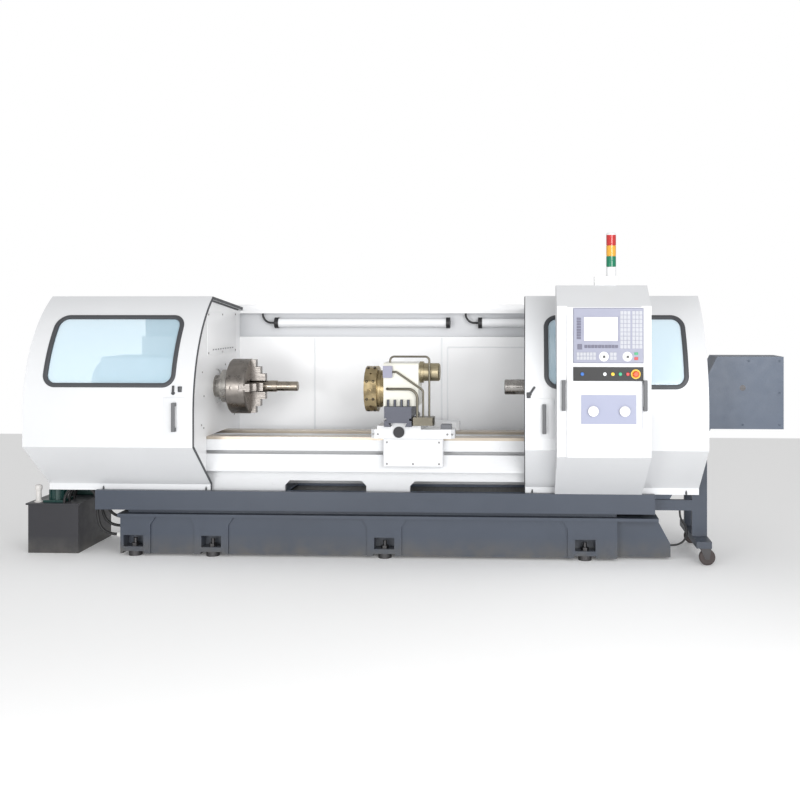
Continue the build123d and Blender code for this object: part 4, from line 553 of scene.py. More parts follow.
TOWER_LENS_HEIGHT = 0.070
# How far a zone's limit stands off the face that it follows
SKIN = 0.0004


def hood_y(z):
    """The hood's outer face above its bulge: an arc that leaves the upright bulge and ends at the crest."""
    return HOOD_BULGE_Y + HOOD_RADIUS - np.sqrt(HOOD_RADIUS ** 2 - (z - HOOD_BULGE_Z) ** 2)


def hood_line(inset, back_y):
    """The hood's outline in the Y-Z plane from its skirt to its roof, moved inwards, as places and inward
    directions. At a corner the move follows the halved angle, divided by its cosine, so that both runs keep
    the inset."""
    turn = np.linspace(0.0, math.asin(HOOD_RISE / HOOD_RADIUS), 25)
    arc_y = HOOD_BULGE_Y + HOOD_RADIUS * (1.0 - np.cos(turn))
    arc_z = HOOD_BULGE_Z + HOOD_RADIUS * np.sin(turn)
    roof_z = HOOD_CREST_Z - (back_y - HOOD_CREST_Y) * ROOF_SLOPE
    front = [(SKIRT_Y, SEAL_FOOT_Z), (SKIRT_Y, SKIRT_TOP_Z), (HOOD_BULGE_Y, KNEE_Z)]
    line = np.concatenate([front, np.column_stack([arc_y, arc_z]), [(back_y, roof_z)]])
    run = np.diff(line, axis=0)
    run /= np.linalg.norm(run, axis=1)[:, None]
    inward = np.column_stack([run[:, 1], -run[:, 0]])
    before = np.concatenate([inward[:1], inward])
    half = before + np.concatenate([inward, inward[-1:]])
    half /= np.linalg.norm(half, axis=1)[:, None]
    half /= np.sum(half * before, axis=1)[:, None]
    return line + inset * half, half


def hood_strip(x, inset, back_y, profile, way):
    """A profile of (inwards, along X) pairs carried along the hood's outline at one X place."""
    line, half = hood_line(inset, back_y)
    count = len(line)
    path = np.column_stack([np.full(count, x), line])
    sides = np.column_stack([np.zeros(count), half])
    return carried(path, sides, np.tile([way, 0.0, 0.0], (count, 1)), profile, False)


# Zones of the covers
GRIP_BLACK = (0.115, 0.118, 0.125)
GRIP_HALF = 0.013
DOOR_GRIP_Z = (0.90, 1.12)
CONTROL_GRIP_Z = (1.08, 1.28)
CONTROL_GRIP_INSET = 0.040


def grip_zone(x, face_y, span_z):
    """The black grip of a handle that stands in front of a face."""
    return zone(GRIP_BLACK, 0.42, x=around(x, GRIP_HALF), y=(None, face_y - SKIN), z=span_z)


class LATHE_OT_finish_covers(bpy.types.Operator):
    """Powder coat on the doors, guards, covers and cabinets"""

    bl_idname = "lathe.finish_covers"
    bl_label = "Finish covers"

    def execute(self, context):
        for door, x in DOOR_HANDLE_X.items():
            grip = grip_zone(x, HOOD_BULGE_Y, DOOR_GRIP_Z)
            dress(f"{door}_shell", white_cover(f"{door}_powder_coat", [grip]))
        low, high = corners("control_cabinet")
        grips = [grip_zone(x, CONTROL_EDGE_Y, CONTROL_GRIP_Z)
                 for x in (low[0] + CONTROL_GRIP_INSET, high[0] - CONTROL_GRIP_INSET)]
        dress("control_cabinet", white_cover("control_powder_coat", grips))
        # The guard's lamp recess is painted a darker grey: painted shade in the recess.
        painted_recess_shade = zone((0.68, 0.69, 0.71), 0.5, y=(GUARD_RECESS_Y, None), z=GUARD_RECESS_Z)
        dress("rear_guard", white_cover("guard_powder_coat", [painted_recess_shade], True))
        # The headstock, bulkhead and belt cover take the lighter inside coat: painted light.
        for node in ("headstock_casting", "headstock_bulkhead", "belt_cover"):
            dress(node, white_cover(f"{node}_paint", inside=True))
        for node in ("tailstock_body", "apron"):
            dress(node, white_cover(f"{node}_paint"))
        wipers = zone((0.03, 0.03, 0.033), 0.35, 0.6, y=(None, APRON_Y - SKIN))
        cross_motor = zone((0.02, 0.02, 0.022), 0.4, y=(SADDLE_BACK_Y + SKIN, None))
        oiler = zone((0.13, 0.135, 0.15), 0.4, x=OILER_X, y=OILER_Y, z=(OILER_LOW_Z, None))
        dress("saddle", white_cover("saddle_paint", [wipers, cross_motor, oiler]))
        plinth = zone((0.06, 0.065, 0.08), 0.5, z=(None, CABINET_PLINTH_Z))
        dress("electrical_cabinet", white_cover("cabinet_powder_coat", [plinth]))
        return {"FINISHED"}


class LATHE_OT_finish_castings(bpy.types.Operator):
    """Paint and machined faces on the base, tray, bed, conveyor, tank, motors and turret"""

    bl_idname = "lathe.finish_castings"
    bl_label = "Finish castings"

    def execute(self, context):
        base = paint("base")
        dress("base_plinth", coated("base_enamel", base, 0.40, 0.84, grain=BASE_GRAIN, grime=0.16))
        dress("chip_tray", coated("tray_enamel", darker(base, 0.96), 0.38, 0.86))
        dress("conveyor_stand", coated("stand_enamel", base, 0.42, 0.82, grime=0.2))
        dress("coolant_tank", coated("tank_enamel", paint("tank"), 0.36, 0.8, grime=0.12))
        ways = zone((0.47, 0.41, 0.34), 0.30, 0.85, z=(WAY_TOP_Z - WAY_DEPTH, None))
        dress("bed_casting", coated("bed_paint_and_ways", paint("white"), 0.32, 0.93, [ways]))
        gearbox = zone((0.035, 0.04, 0.05), 0.42, y=(CONVEYOR_BACK_Y + SKIN, None))
        dress("conveyor_housing", coated("conveyor_enamel", paint("conveyor"), 0.40, 0.86, [gearbox]))
        front_box = zone((0.27, 0.27, 0.36), 0.38, y=(None, TURRET_FRONT_Y - SKIN))
        dress("turret_body", coated("turret_cream", (0.80, 0.79, 0.71), 0.30, 0.92, [front_box]))
        for node, name, colour, rough, shade in (
                ("coolant_pump", "pump_enamel", (0.012, 0.055, 0.050), 0.30, 0.7),
                ("main_motor", "motor_enamel", (0.022, 0.023, 0.026), 0.42, 0.8),
                ("z_drive", "servo_enamel", (0.020, 0.020, 0.023), 0.38, 0.8)):
            dress(node, coated(name, colour, rough, shade))
        dress("turret_riser", machined("riser_iron", (0.125, 0.130, 0.155), 0.45, shade=0.6))
        dress("turret_motor", machined("motor_plated", (0.52, 0.45, 0.30), 0.32))
        return {"FINISHED"}


class LATHE_OT_finish_metal(bpy.types.Operator):
    """Turned, ground and blackened metal"""

    bl_idname = "lathe.finish_metal"
    bl_label = "Finish metal"

    def execute(self, context):
        for node, name, colour, centre, rough, shade in (
                ("chuck_body", "chuck_steel", (0.31, 0.285, 0.262), SPINDLE, 0.26, 0.6),
                ("test_bar", "bar_steel", (0.42, 0.37, 0.31), SPINDLE, 0.22, 0.6),
                ("spindle_shaft", "spindle_steel", (0.50, 0.48, 0.45), SPINDLE, 0.24, 0.6),
                ("tailstock_quill", "quill_steel", (0.44, 0.42, 0.40), SPINDLE, 0.16, 0.6),
                ("turret_disc", "tool_disc_bronze", paint("bronze"), TOOL_DISC, 0.24, 0.45),
                ("motor_pulley", "pulley_steel", (0.45, 0.44, 0.43), joint_place("motor_turn"), 0.28, 0.6)):
            dress(node, ringed(name, colour, centre, rough, shade))
        for side in ("top", "front", "bottom", "back"):
            dress(f"chuck_jaw_{side}", machined(f"jaw_steel_{side}", (0.24, 0.222, 0.208), 0.32))
        for node in ("z_screw", "x_screw"):
            dress(node, machined(f"{node}_steel", (0.50, 0.49, 0.47), 0.30))
        for node in ("levelling_feet", "front_caster_fork", "rear_caster_fork", "conveyor_shaft"):
            dress(node, machined(f"{node}_blackened", (0.115, 0.112, 0.115), 0.42))
        dress("turret_pipes", machined("pipe_steel", (0.19, 0.175, 0.14), 0.34))
        dress("conveyor_belt", machined("chain_plates", (0.26, 0.25, 0.24), 0.4, (0.0, 1.0, 0.0)))
        return {"FINISHED"}


BUTTON_COLOURS = {
    "blue_button": (0.03, 0.16, 0.55),
    "yellow_button": (0.86, 0.55, 0.02),
    "green_button": (0.02, 0.42, 0.20),
    "red_button": (0.62, 0.02, 0.02),
    "stop_button": (0.78, 0.09, 0.015),
}
# The signal tower's lenses from the top down: red, amber and green
TOWER_COLOURS = ((0.50, 0.035, 0.035), (0.74, 0.38, 0.05), (0.01, 0.19, 0.10))
PILOT_LAMP_HALF = 0.012
STOP_RING_HALF = 0.032
DIAL_HUB_HALF = 0.008


class LATHE_OT_finish_plastics(bpy.types.Operator):
    """Glass, rubber, control plates, buttons, dials, lamps and the signal tower"""

    bl_idname = "lathe.finish_plastics"
    bl_label = "Finish plastics"

    def execute(self, context):
        for door in DOORS:
            dress(f"{door}_pane", window_glass(f"{door}_safety_glass"))
        dress("drive_belt", moulded("belt_rubber", (0.018, 0.018, 0.018), 0.6))
        for side in ("front", "rear"):
            dress(f"{side}_caster_wheel", moulded(f"{side}_tread", (0.055, 0.04, 0.038), 0.5, 0.7))
        first_x, second_x = LAMP_STARTS
        clamps = [zone((0.016, 0.016, 0.018), 0.4, x=span) for span in (
            (None, first_x + LAMP_CLAMP),
            (first_x + LAMP_LENGTH - LAMP_CLAMP, second_x + LAMP_CLAMP),
            (second_x + LAMP_LENGTH - LAMP_CLAMP, None))]
        dress("work_lamps", moulded("lamp_tube", (0.88, 0.89, 0.91), 0.22, 0.97, zones=clamps))
        proud = {"y": (None, BUTTON_STRIP_Y), "z": BUTTON_STRIP_Z}
        zones = [zone((0.012, 0.012, 0.013), 0.45, z=BUTTON_STRIP_Z),
                 zone((0.72, 0.74, 0.76), 0.2, x=around(PILOT_LAMP_X, PILOT_LAMP_HALF), **proud),
                 zone((0.80, 0.50, 0.02), 0.35, x=around(STOP_RING_X, STOP_RING_HALF), **proud),
                 zone((0.34, 0.36, 0.48), 0.34, z=(None, HANDWHEEL_PLATE_TOP_Z))]
        dress("operator_panels", coated("control_face", paint("lilac"), 0.36, 0.95, zones))
        tops = TOWER_LENS_TOP_Z - TOWER_LENS_HEIGHT * np.arange(len(TOWER_COLOURS))
        lenses = [zone(colour, 0.14, z=(top - TOWER_LENS_HEIGHT, top))
                  for top, colour in zip(tops, TOWER_COLOURS)]
        dress("signal_tower", moulded("tower_lenses", (0.82, 0.83, 0.84), 0.2, 0.96, zones=lenses))
        for node, colour in BUTTON_COLOURS.items():
            dress(node, moulded(f"{node}_plastic", colour, 0.24, 0.88))
        for node in ("feed_dial", "speed_dial"):
            x, _, z = joint_place(f"{node}_turn")
            hub = zone((0.05, 0.05, 0.055), 0.35, x=around(x, DIAL_HUB_HALF), z=around(z, DIAL_HUB_HALF))
            dress(node, moulded(f"{node}_plastic", (0.85, 0.85, 0.83), 0.32, 0.95, zones=[hub]))
        for node in ("x_handwheel", "z_handwheel"):
            dress(node, moulded(f"{node}_plastic", (0.84, 0.84, 0.85), 0.30, 0.95))
        return {"FINISHED"}


# Hoses and the cable: the routes' points, as the solids have them
HOSE_RADIUS = 0.010
HOSE_HEIGHTS = (0.136, 0.180, 0.224)
HOSE_Y = AXIS_Y - 0.150
HOSE_STEP_Y = 0.078
HOSE_LID_X = NOSE_X - 1.1551
HOSE_END_X = NOSE_X - 0.769
HOSE_SLANT = 0.0707
GLAND_PROFILE = ((0.0, 0.0), (0.0165, 0.0), (0.018, 0.004), (0.018, 0.014), (0.0225, 0.016), (0.0245, 0.020),
                 (0.0245, 0.034), (0.0205, 0.036), (0.026, 0.040), (0.026, 0.046), (0.0, 0.046))
CABLE_RADIUS = 0.007
CABLE_Y = AXIS_Y - 0.129
CABLE_ROUTE = [(NOSE_X + 3.1668, CABLE_Y, 0.338), (NOSE_X + 3.1668, CABLE_Y, 0.280),
               (NOSE_X + 3.2150, CABLE_Y, 0.2225), (NOSE_X + 3.2150, CABLE_Y, 0.1475),
               (NOSE_X + 3.1620, CABLE_Y, 0.0945), (NOSE_X + 3.100, CABLE_Y, 0.0945)]


def hose_route(y, height):
    """A hose's points: up from the tank's lid, over, down and into its gland."""
    return [(HOSE_LID_X, y, TANK_LID_Z), (HOSE_LID_X, y, TANK_LID_Z + 0.052),
            (HOSE_LID_X + HOSE_SLANT, y, TANK_LID_Z + 0.1227), (HOSE_LID_X + 0.1707, y, TANK_LID_Z + 0.1227),
            (HOSE_LID_X + 0.2414, y, TANK_LID_Z + 0.052), (HOSE_LID_X + 0.2414, y, height + HOSE_SLANT),
            (HOSE_LID_X + 0.3121, y, height), (HOSE_END_X, y, height)]


def route_curve(name, points, radius, body, material):
    """A smooth round hose: a NURBS spline of order 3 with the route's points as its control points."""
    data = bpy.data.curves.new(name, "CURVE")
    data.dimensions = "3D"
    data.bevel_depth = radius
    data.bevel_resolution = 6
    data.resolution_u = 16
    data.use_fill_caps = True
    spline = data.splines.new("NURBS")
    spline.points.add(len(points) - 1)
    for place, point in zip(spline.points, points):
        place.co = (*point, 1.0)
    spline.order_u = 3
    spline.use_endpoint_u = True
    data.materials.append(material)
    piece = bpy.data.objects.new(name, data)
    bpy.context.scene.collection.objects.link(piece)
    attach(piece, body)
    return piece


def route_length(piece):
    """The length of a curve's own line, measured on a copy with no bevel."""
    bare = piece.data.copy()
    bare.bevel_depth = 0.0
    holder = bpy.data.objects.new("measured_line", bare)
    mesh = bpy.data.meshes.new_from_object(holder)
    points = np.array([vertex.co[:] for vertex in mesh.vertices])
    bpy.data.objects.remove(holder)
    bpy.data.meshes.remove(mesh)
    bpy.data.curves.remove(bare)
    return float(np.linalg.norm(np.diff(points, axis=0), axis=1).sum())


class LATHE_OT_coolant_hoses(bpy.types.Operator):
    """Three coolant hoses from the tank's lid into the glands on the base"""

    bl_idname = "lathe.coolant_hoses"
    bl_label = "Coolant hoses"

    def execute(self, context):
        rubber = moulded("hose_rubber", (0.014, 0.014, 0.015), 0.5, 0.75, HOSE_GRAIN)
        plastic = moulded("gland_plastic", (0.78, 0.78, 0.76), 0.4, 0.9)
        cone = turned(GLAND_PROFILE, (1.0, 0.0, 0.0), 24)
        for index, height in enumerate(HOSE_HEIGHTS):
            y = HOSE_Y + HOSE_STEP_Y * index
            route = hose_route(y, height)
            hose = route_curve(f"coolant_hose_{index + 1}", route, HOSE_RADIUS, "frame", rubber)
            gland = add_piece(f"hose_gland_{index + 1}", repeated(cone, [(HOSE_END_X, y, height)]), "frame",
                              plastic)
            route_length(hose)
            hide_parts("coolant_hoses")
        return {"FINISHED"}


class LATHE_OT_conveyor_cable(bpy.types.Operator):
    """The conveyor's supply cable, hanging from the tie to the base's end"""

    bl_idname = "lathe.conveyor_cable"
    bl_label = "Conveyor cable"

    def execute(self, context):
        rubber = moulded("cable_rubber", (0.016, 0.016, 0.017), 0.5, 0.75, HOSE_GRAIN)
        cable = route_curve("conveyor_supply_cable", CABLE_ROUTE, CABLE_RADIUS, "frame", rubber)
        route_length(cable)
        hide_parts("conveyor_cable")
        return {"FINISHED"}


GASKET_LIP_SHARE = 0.18
GASKET_SHOULDER_SHARE = 0.35
GASKET_SINK = 0.008
GASKET_CLEAR = 0.0006
GASKET_TONGUE = 0.0004


def window_edge(low_x, high_x):
    """A window's edge seen from the front: four quarter turns round the middles of its corners, with each
    step from point to point cut in eight. Gives the X-Z places and the outward directions."""
    low = np.array([low_x, WINDOW_LOW_Z])
    high = np.array([high_x, WINDOW_HIGH_Z])
    turn = np.linspace(0.0, math.pi / 2.0, 13)
    angle = (np.arange(4)[:, None] * math.pi / 2.0 + turn).ravel()
    sign = np.repeat([[1.0, 1.0], [-1.0, 1.0], [-1.0, -1.0], [1.0, -1.0]], len(turn), axis=0)
    out = np.column_stack([np.cos(angle), np.sin(angle)])
    flat = (low + high) / 2.0 + sign * ((high - low) / 2.0 - WINDOW_ROUND) + WINDOW_ROUND * out
    share = np.linspace(0.0, 1.0, 8, endpoint=False)[:, None]
    return [(line[:, None] * (1.0 - share) + np.roll(line, -1, axis=0)[:, None] * share).reshape(-1, 2)
            for line in (flat, out)]


def gasket_profile(wide, tall):
    """A rubber profile: half an ellipse on a shoulder, with a tongue that reaches into the opening."""
    lip = wide * GASKET_LIP_SHARE
    bead = np.linspace(0.0, math.pi, 9)
    rise = GASKET_SHOULDER_SHARE + (1.0 - GASKET_SHOULDER_SHARE) * np.sin(bead)
    top = np.column_stack([wide / 2.0 - lip - np.cos(bead) * wide / 2.0, tall * rise])
    foot = [(wide - lip, GASKET_CLEAR), (GASKET_TONGUE, GASKET_CLEAR), (-GASKET_TONGUE, -GASKET_SINK)]
    return np.concatenate([[(-lip, -GASKET_SINK)], top, foot])


class LATHE_OT_window_gaskets(bpy.types.Operator):
    """Rubber profiles round the door windows"""

    bl_idname = "lathe.window_gaskets"
    bl_label = "Window gaskets"

    def execute(self, context):
        trim = context.scene.lathe_trim
        rubber = moulded("gasket_rubber", (0.060, 0.063, 0.070), 0.5, 0.85)
        profile = gasket_profile(trim.gasket_width, trim.gasket_height)
        for door, (left, right) in DOOR_SPAN.items():
            (x, z), out = (line.T for line in window_edge(left + WINDOW_MARGIN, right - WINDOW_MARGIN))
            slope = (z - HOOD_BULGE_Z) / np.sqrt(HOOD_RADIUS ** 2 - (z - HOOD_BULGE_Z) ** 2)
            normal = np.column_stack([np.zeros_like(z), -np.ones_like(z), slope])
            normal /= np.linalg.norm(normal, axis=1)[:, None]
            side = np.column_stack([out[0], out[1] * slope, out[1]])
            side /= np.linalg.norm(side, axis=1)[:, None]
            path = np.column_stack([x, hood_y(z), z])
            add_piece(f"{door}_gasket", carried(path, side, normal, profile), door, rubber,
                      GASKET_SMOOTH)
        return {"FINISHED"}


# Fields of keys: columns, rows, then the low and high shares of the control unit's width and height
KEY_FIELDS = ((3, 9, (0.665, 0.815), (0.26, 0.95)), (3, 9, (0.835, 0.985), (0.26, 0.95)),
              (6, 2, (0.045, 0.325), (0.055, 0.200)), (2, 2, (0.520, 0.620), (0.055, 0.200)))
SOFT_KEY_FIELDS = ((10, 1, (0.155, 0.640), (0.270, 0.335)), (1, 8, (0.045, 0.112), (0.430, 0.830)))
PAGE_KEY = (1, 1, (0.055, 0.128), (0.245, 0.350))
START_KEY = (1, 1, (0.865, 0.925), (0.145, 0.200))
HOLD_KEY = (1, 1, (0.865, 0.925), (0.055, 0.115))
KEY_PROUD = 0.0022
TALL_KEY_PROUD = 0.0030
KEY_ROUND = 0.0012
SCREEN_SIZE = (0.210, 0.0016, 0.150)
SCREEN_ROUND = 0.0006
SCREEN_CENTRE = (PANEL_X + 0.171, PANEL_FRONT_Y + 0.0032, PANEL_Z + 0.213)
SCALE_PROFILE = ((0.0, 0.0), (0.0295, 0.0), (0.030, 0.0004), (0.0295, 0.0012), (0.0, 0.0012))
SCALE_Y = PANEL_FRONT_Y + 0.0002


def key_block(field, proud=KEY_PROUD):
    """Keys in a grid over a share of the control unit's face, each a rounded block less the gap."""
    columns, rows, (low_u, high_u), (low_v, high_v) = field
    gap = bpy.context.scene.lathe_trim.key_gap
    wide = (high_u - low_u) * PANEL_WIDTH / columns
    tall = (high_v - low_v) * PANEL_HEIGHT / rows
    key = rounded_block((wide - gap, proud * 2.0, tall - gap), KEY_ROUND, around=2, up=2)
    x = PANEL_X + low_u * PANEL_WIDTH + (np.arange(columns) + 0.5) * wide
    z = PANEL_Z + low_v * PANEL_HEIGHT + (np.arange(rows) + 0.5) * tall
    x, z = np.meshgrid(x, z, indexing="ij")
    return repeated(key, np.column_stack([x.ravel(), np.full(x.size, PANEL_FRONT_Y), z.ravel()]))


class LATHE_OT_control_keys(bpy.types.Operator):
    """Screen, key fields and dial scales of the control unit"""

    bl_idname = "lathe.control_keys"
    bl_label = "Control keys"

    def execute(self, context):
        pale = moulded("key_caps", (0.50, 0.51, 0.55), 0.42, 0.94)
        keys = joined([key_block(field) for field in KEY_FIELDS])
        add_piece("key_field", keys, "control", pale)
        dark = moulded("soft_keys", (0.14, 0.14, 0.20), 0.40, 0.9)
        soft = [*(key_block(field) for field in SOFT_KEY_FIELDS), key_block(PAGE_KEY, TALL_KEY_PROUD)]
        add_piece("soft_key_rows", joined(soft), "control", dark)
        start = moulded("start_key", (0.03, 0.38, 0.16), 0.35, 0.9)
        add_piece("cycle_start_key", key_block(START_KEY, TALL_KEY_PROUD), "control", start)
        hold = moulded("halt_key", (0.60, 0.04, 0.04), 0.35, 0.9)
        add_piece("feed_hold_key", key_block(HOLD_KEY, TALL_KEY_PROUD), "control", hold)
        glass = coated("screen_glass", (0.74, 0.72, 0.80), 0.14, 0.95)
        screen = rounded_block(SCREEN_SIZE, SCREEN_ROUND, SCREEN_CENTRE, 2, 2)
        add_piece("control_screen", screen, "control", glass)
        ring = moulded("dial_scale", (0.84, 0.84, 0.84), 0.35, 0.95)
        dials = [joint_place(f"{dial}_turn") for dial in ("feed_dial", "speed_dial")]
        scales = repeated(turned(SCALE_PROFILE, (0.0, -1.0, 0.0), 48), [(x, SCALE_Y, z) for x, _, z in dials])
        add_piece("dial_scales", scales, "control", ring)
        return {"FINISHED"}


# Seal profiles: inwards from the hood's outline, and out from the edge that carries the seal
BEAD_PROFILE = ((0.0, -0.001), (0.0095, -0.001), (0.0105, 0.004), (0.0095, 0.0090), (0.005, 0.0112),
                (0.0006, 0.0090), (-0.0004, 0.004))
BEAD_INSET = HOOD_WALL + 0.0016
BEAD_BACK_Y = AXIS_Y + 0.50
LIP_PROFILE = ((0.0, -0.002), (0.018, -0.002), (0.0185, 0.003), (0.015, 0.0062), (0.004, 0.0062),
               (-0.0005, 0.003))
LIP_INSET = 0.003
LIP_BACK_Y = AXIS_Y + 0.58


class LATHE_OT_edge_seals(bpy.types.Operator):
    """Rubber seals along the hood's outline, on the bulkhead's edge and on the doors' closing edges"""

    bl_idname = "lathe.edge_seals"
    bl_label = "Edge seals"

    def execute(self, context):
        rubber = moulded("seal_rubber", (0.085, 0.088, 0.096), 0.55, 0.8)
        seal = hood_strip(BULKHEAD_X, BEAD_INSET, BEAD_BACK_Y, BEAD_PROFILE, 1.0)
        add_piece("bulkhead_edge_seal", seal, "frame", rubber, SEAL_SMOOTH)
        closing_edges = (DOOR_SPAN["left_door"][1], DOOR_SPAN["right_door"][0])
        for door, x, way in zip(DOORS, closing_edges, (1.0, -1.0)):
            edge = hood_strip(x, LIP_INSET, LIP_BACK_Y, LIP_PROFILE, way)
            add_piece(f"{door}_closing_lip", edge, door, rubber, SEAL_SMOOTH)
        return {"FINISHED"}


# Door fittings, with X from the spindle's nose and Z from the floor
HANDLE_PLATE_SIZE = (0.140, 0.0032, 0.258)
HANDLE_PLATE_ROUND = 0.0014
HANDLE_PLATE_SHIFT = 0.006
HANDLE_PLATE_Y = HOOD_BULGE_Y - 0.0002
LEVER_ENDS = {"left_door": ((-0.222, 1.166), (-0.222, 1.216)), "right_door": ((2.133, 1.168), (2.166, 1.217))}
LEVER_RADIUS = 0.0072
LEVER_PROUD = 0.009
PIVOT_PROFILE = ((0.0, -0.004), (0.012, -0.004), (0.012, 0.002), (0.0095, 0.0045), (0.0095, 0.012),
                 (0.008, 0.0135), (0.0, 0.0135))
PIVOT_DIRECTION = (0.0, -1.0, 0.15)
KEEPER_PLACES = {"left_door": (-0.178, 1.192), "right_door": (2.126, 1.162)}
KEEPER_SIZE = (0.026, 0.014, 0.038)
KEEPER_ROUND = 0.003
KEEPER_PROUD = 0.002
ROLLER_PLACES = {"left_door": (-0.849, -0.120), "right_door": (2.151, 3.200)}
ROLLER_PROFILE = ((0.0, 0.0), (0.0050, 0.0), (0.0060, 0.002), (0.0060, 0.017), (0.0048, 0.019),
                  (0.0032, 0.020), (0.0032, 0.027), (0.0, 0.027))
ROLLER_Y = SKIRT_Y - 0.0062
ROLLER_Z = TRAY_TOP_Z + 0.003


def latch(door):
    """A door's latch: a lever, the pivot at its lower end and a keeper, all on the hood's outer face."""
    ends = [(NOSE_X + x, hood_y(z) - LEVER_PROUD, z) for x, z in LEVER_ENDS[door]]
    x, z = LEVER_ENDS[door][0]
    pivot = repeated(turned(PIVOT_PROFILE, PIVOT_DIRECTION, 24), [(NOSE_X + x, hood_y(z), z)])
    x, z = KEEPER_PLACES[door]
    keeper = rounded_block(KEEPER_SIZE, KEEPER_ROUND, (NOSE_X + x, hood_y(z) - KEEPER_PROUD, z))
    return joined([rod_between(*ends, LEVER_RADIUS), pivot, keeper])


class LATHE_OT_door_fittings(bpy.types.Operator):
    """Backing plates round the door handles, the latches above them and the guide rollers on the skirts"""

    bl_idname = "lathe.door_fittings"
    bl_label = "Door fittings"

    def execute(self, context):
        plate_paint = white_cover("handle_plate_paint")
        steel = coated("latch_black", (0.055, 0.057, 0.062), 0.38, 0.8)
        roller = turned(ROLLER_PROFILE, (0.0, 0.0, 1.0), 18)
        for door, x in DOOR_HANDLE_X.items():
            centre = (x - HANDLE_PLATE_SHIFT, HANDLE_PLATE_Y, HANDLE_Z)
            plate = rounded_block(HANDLE_PLATE_SIZE, HANDLE_PLATE_ROUND, centre)
            add_piece(f"{door}_handle_plate", plate, door, plate_paint)
            add_piece(f"{door}_latch", latch(door), door, steel)
            places = [(NOSE_X + place, ROLLER_Y, ROLLER_Z) for place in ROLLER_PLACES[door]]
            add_piece(f"{door}_guide_rollers", repeated(roller, places), door, steel)
        return {"FINISHED"}


# Guard seams as X from the spindle's nose, Z, length along X and height
SEAM_STRIPS = ((0.481, 0.9925, 0.014, 1.025), (1.463, 0.9925, 0.014, 1.025), (2.133, 1.433, 1.250, 0.012),
               (1.508, 0.983, 0.012, 0.900))
SEAM_DEPTH = 0.004
SEAM_ROUND = 0.0015
VENT_PLATE_SIZE = (0.005, 0.680, 0.300)
VENT_PLATE_ROUND = 0.0018
VENT_PLATE_CENTRE = (BULKHEAD_X, AXIS_Y + 0.120, 1.550)
VENT_SLOT_SIZE = (0.004, 0.034, 0.009)
VENT_SLOT_ROUND = 0.0015
VENT_SLOT_X = BULKHEAD_X + 0.0016
VENT_SLOT_Y = np.linspace(AXIS_Y - 0.09, AXIS_Y + 0.37, 9)
VENT_SLOT_Z = 1.436
TOP_PLATE_INSET = HOOD_WALL + 0.006
TOP_PLATE_FOOT_Z = 1.704
TOP_PLATE_X = (BULKHEAD_X - 0.001, BULKHEAD_X + 0.002)
# Screws on the bulkhead as Y from the spindle's axis and Z
BULKHEAD_SCREWS = ((0.196, 1.317), (-0.296, 1.124), (-0.350, 0.930), (-0.300, 0.905), (-0.330, 1.290),
                   (0.300, 1.317), (0.420, 1.100), (0.420, 0.930))
VENT_SCREWS = tuple((y, z) for y in (-0.200, 0.120, 0.440) for z in (1.415, 1.685))


def top_plate():
    """The bulkhead's top plate: the hood's outline above a level foot, moved inwards and carried along X."""
    line, _ = hood_line(TOP_PLATE_INSET, BEAD_BACK_Y)
    foot_y = np.interp(TOP_PLATE_FOOT_Z, line[:-1, 1], line[:-1, 0])
    foot = [(line[-1, 0], TOP_PLATE_FOOT_Z), (foot_y, TOP_PLATE_FOOT_Z)]
    outline = np.concatenate([foot, line[line[:, 1] > TOP_PLATE_FOOT_Z]])
    path = [(x, 0.0, 0.0) for x in TOP_PLATE_X]
    return carried(path, np.tile([0.0, 1.0, 0.0], (2, 1)), np.tile([0.0, 0.0, 1.0], (2, 1)), outline, False)


class LATHE_OT_guard_panels(bpy.types.Operator):
    """Seam strips on the rear guard, and the bulkhead's vented plate, top plate up to the roof, and screws"""

    bl_idname = "lathe.guard_panels"
    bl_label = "Guard panels"

    def execute(self, context):
        seams = [rounded_block((length, SEAM_DEPTH, height), SEAM_ROUND, (NOSE_X + x, GUARD_Y, z))
                 for x, z, length, height in SEAM_STRIPS]
        seam_paint = coated("seam_paint", (0.80, 0.81, 0.83), 0.36, 0.95)
        add_piece("guard_seam_strips", joined(seams), "frame", seam_paint)
        # The vent plate takes the lighter inside coat: painted light.
        cover = white_cover("vent_plate_paint", inside=True)
        plate = rounded_block(VENT_PLATE_SIZE, VENT_PLATE_ROUND, VENT_PLATE_CENTRE)
        add_piece("bulkhead_vent_plate", plate, "frame", cover)
        add_piece("bulkhead_top_plate", top_plate(), "frame", cover)
        dark = coated("vent_shadow", (0.25, 0.25, 0.27), 0.5, 0.8)
        slot = rounded_block(VENT_SLOT_SIZE, VENT_SLOT_ROUND, around=3)
        slots = repeated(slot, [(VENT_SLOT_X, y, VENT_SLOT_Z) for y in VENT_SLOT_Y])
        add_piece("bulkhead_vent_slots", slots, "frame", dark)
        places = [(BULKHEAD_X, AXIS_Y + y, z) for y, z in BULKHEAD_SCREWS]
        places += [(BULKHEAD_X + VENT_PLATE_SIZE[0] / 2.0, AXIS_Y + y, z) for y, z in VENT_SCREWS]
        steel = machined("screw_steel", (0.42, 0.41, 0.40), 0.34)
        screws = repeated(screw_head((1.0, 0.0, 0.0)), places)
        add_piece("bulkhead_screws", screws, "frame", steel)
        return {"FINISHED"}


# Screws on the apron, the saddle's wipers and the conveyor's side, as X from the spindle's nose and Z
CARRIAGE_SCREWS = ((1.162, 0.668), (1.340, 0.668), (1.518, 0.668), (1.162, 0.815), (1.518, 0.815),
                   (1.068, 0.870), (1.100, 0.870), (1.575, 0.870), (1.607, 0.870))
CONVEYOR_SCREWS = ((3.850, 0.925), (3.850, 1.145), (3.850, 1.366), (3.600, 0.925), (3.640, 1.366))


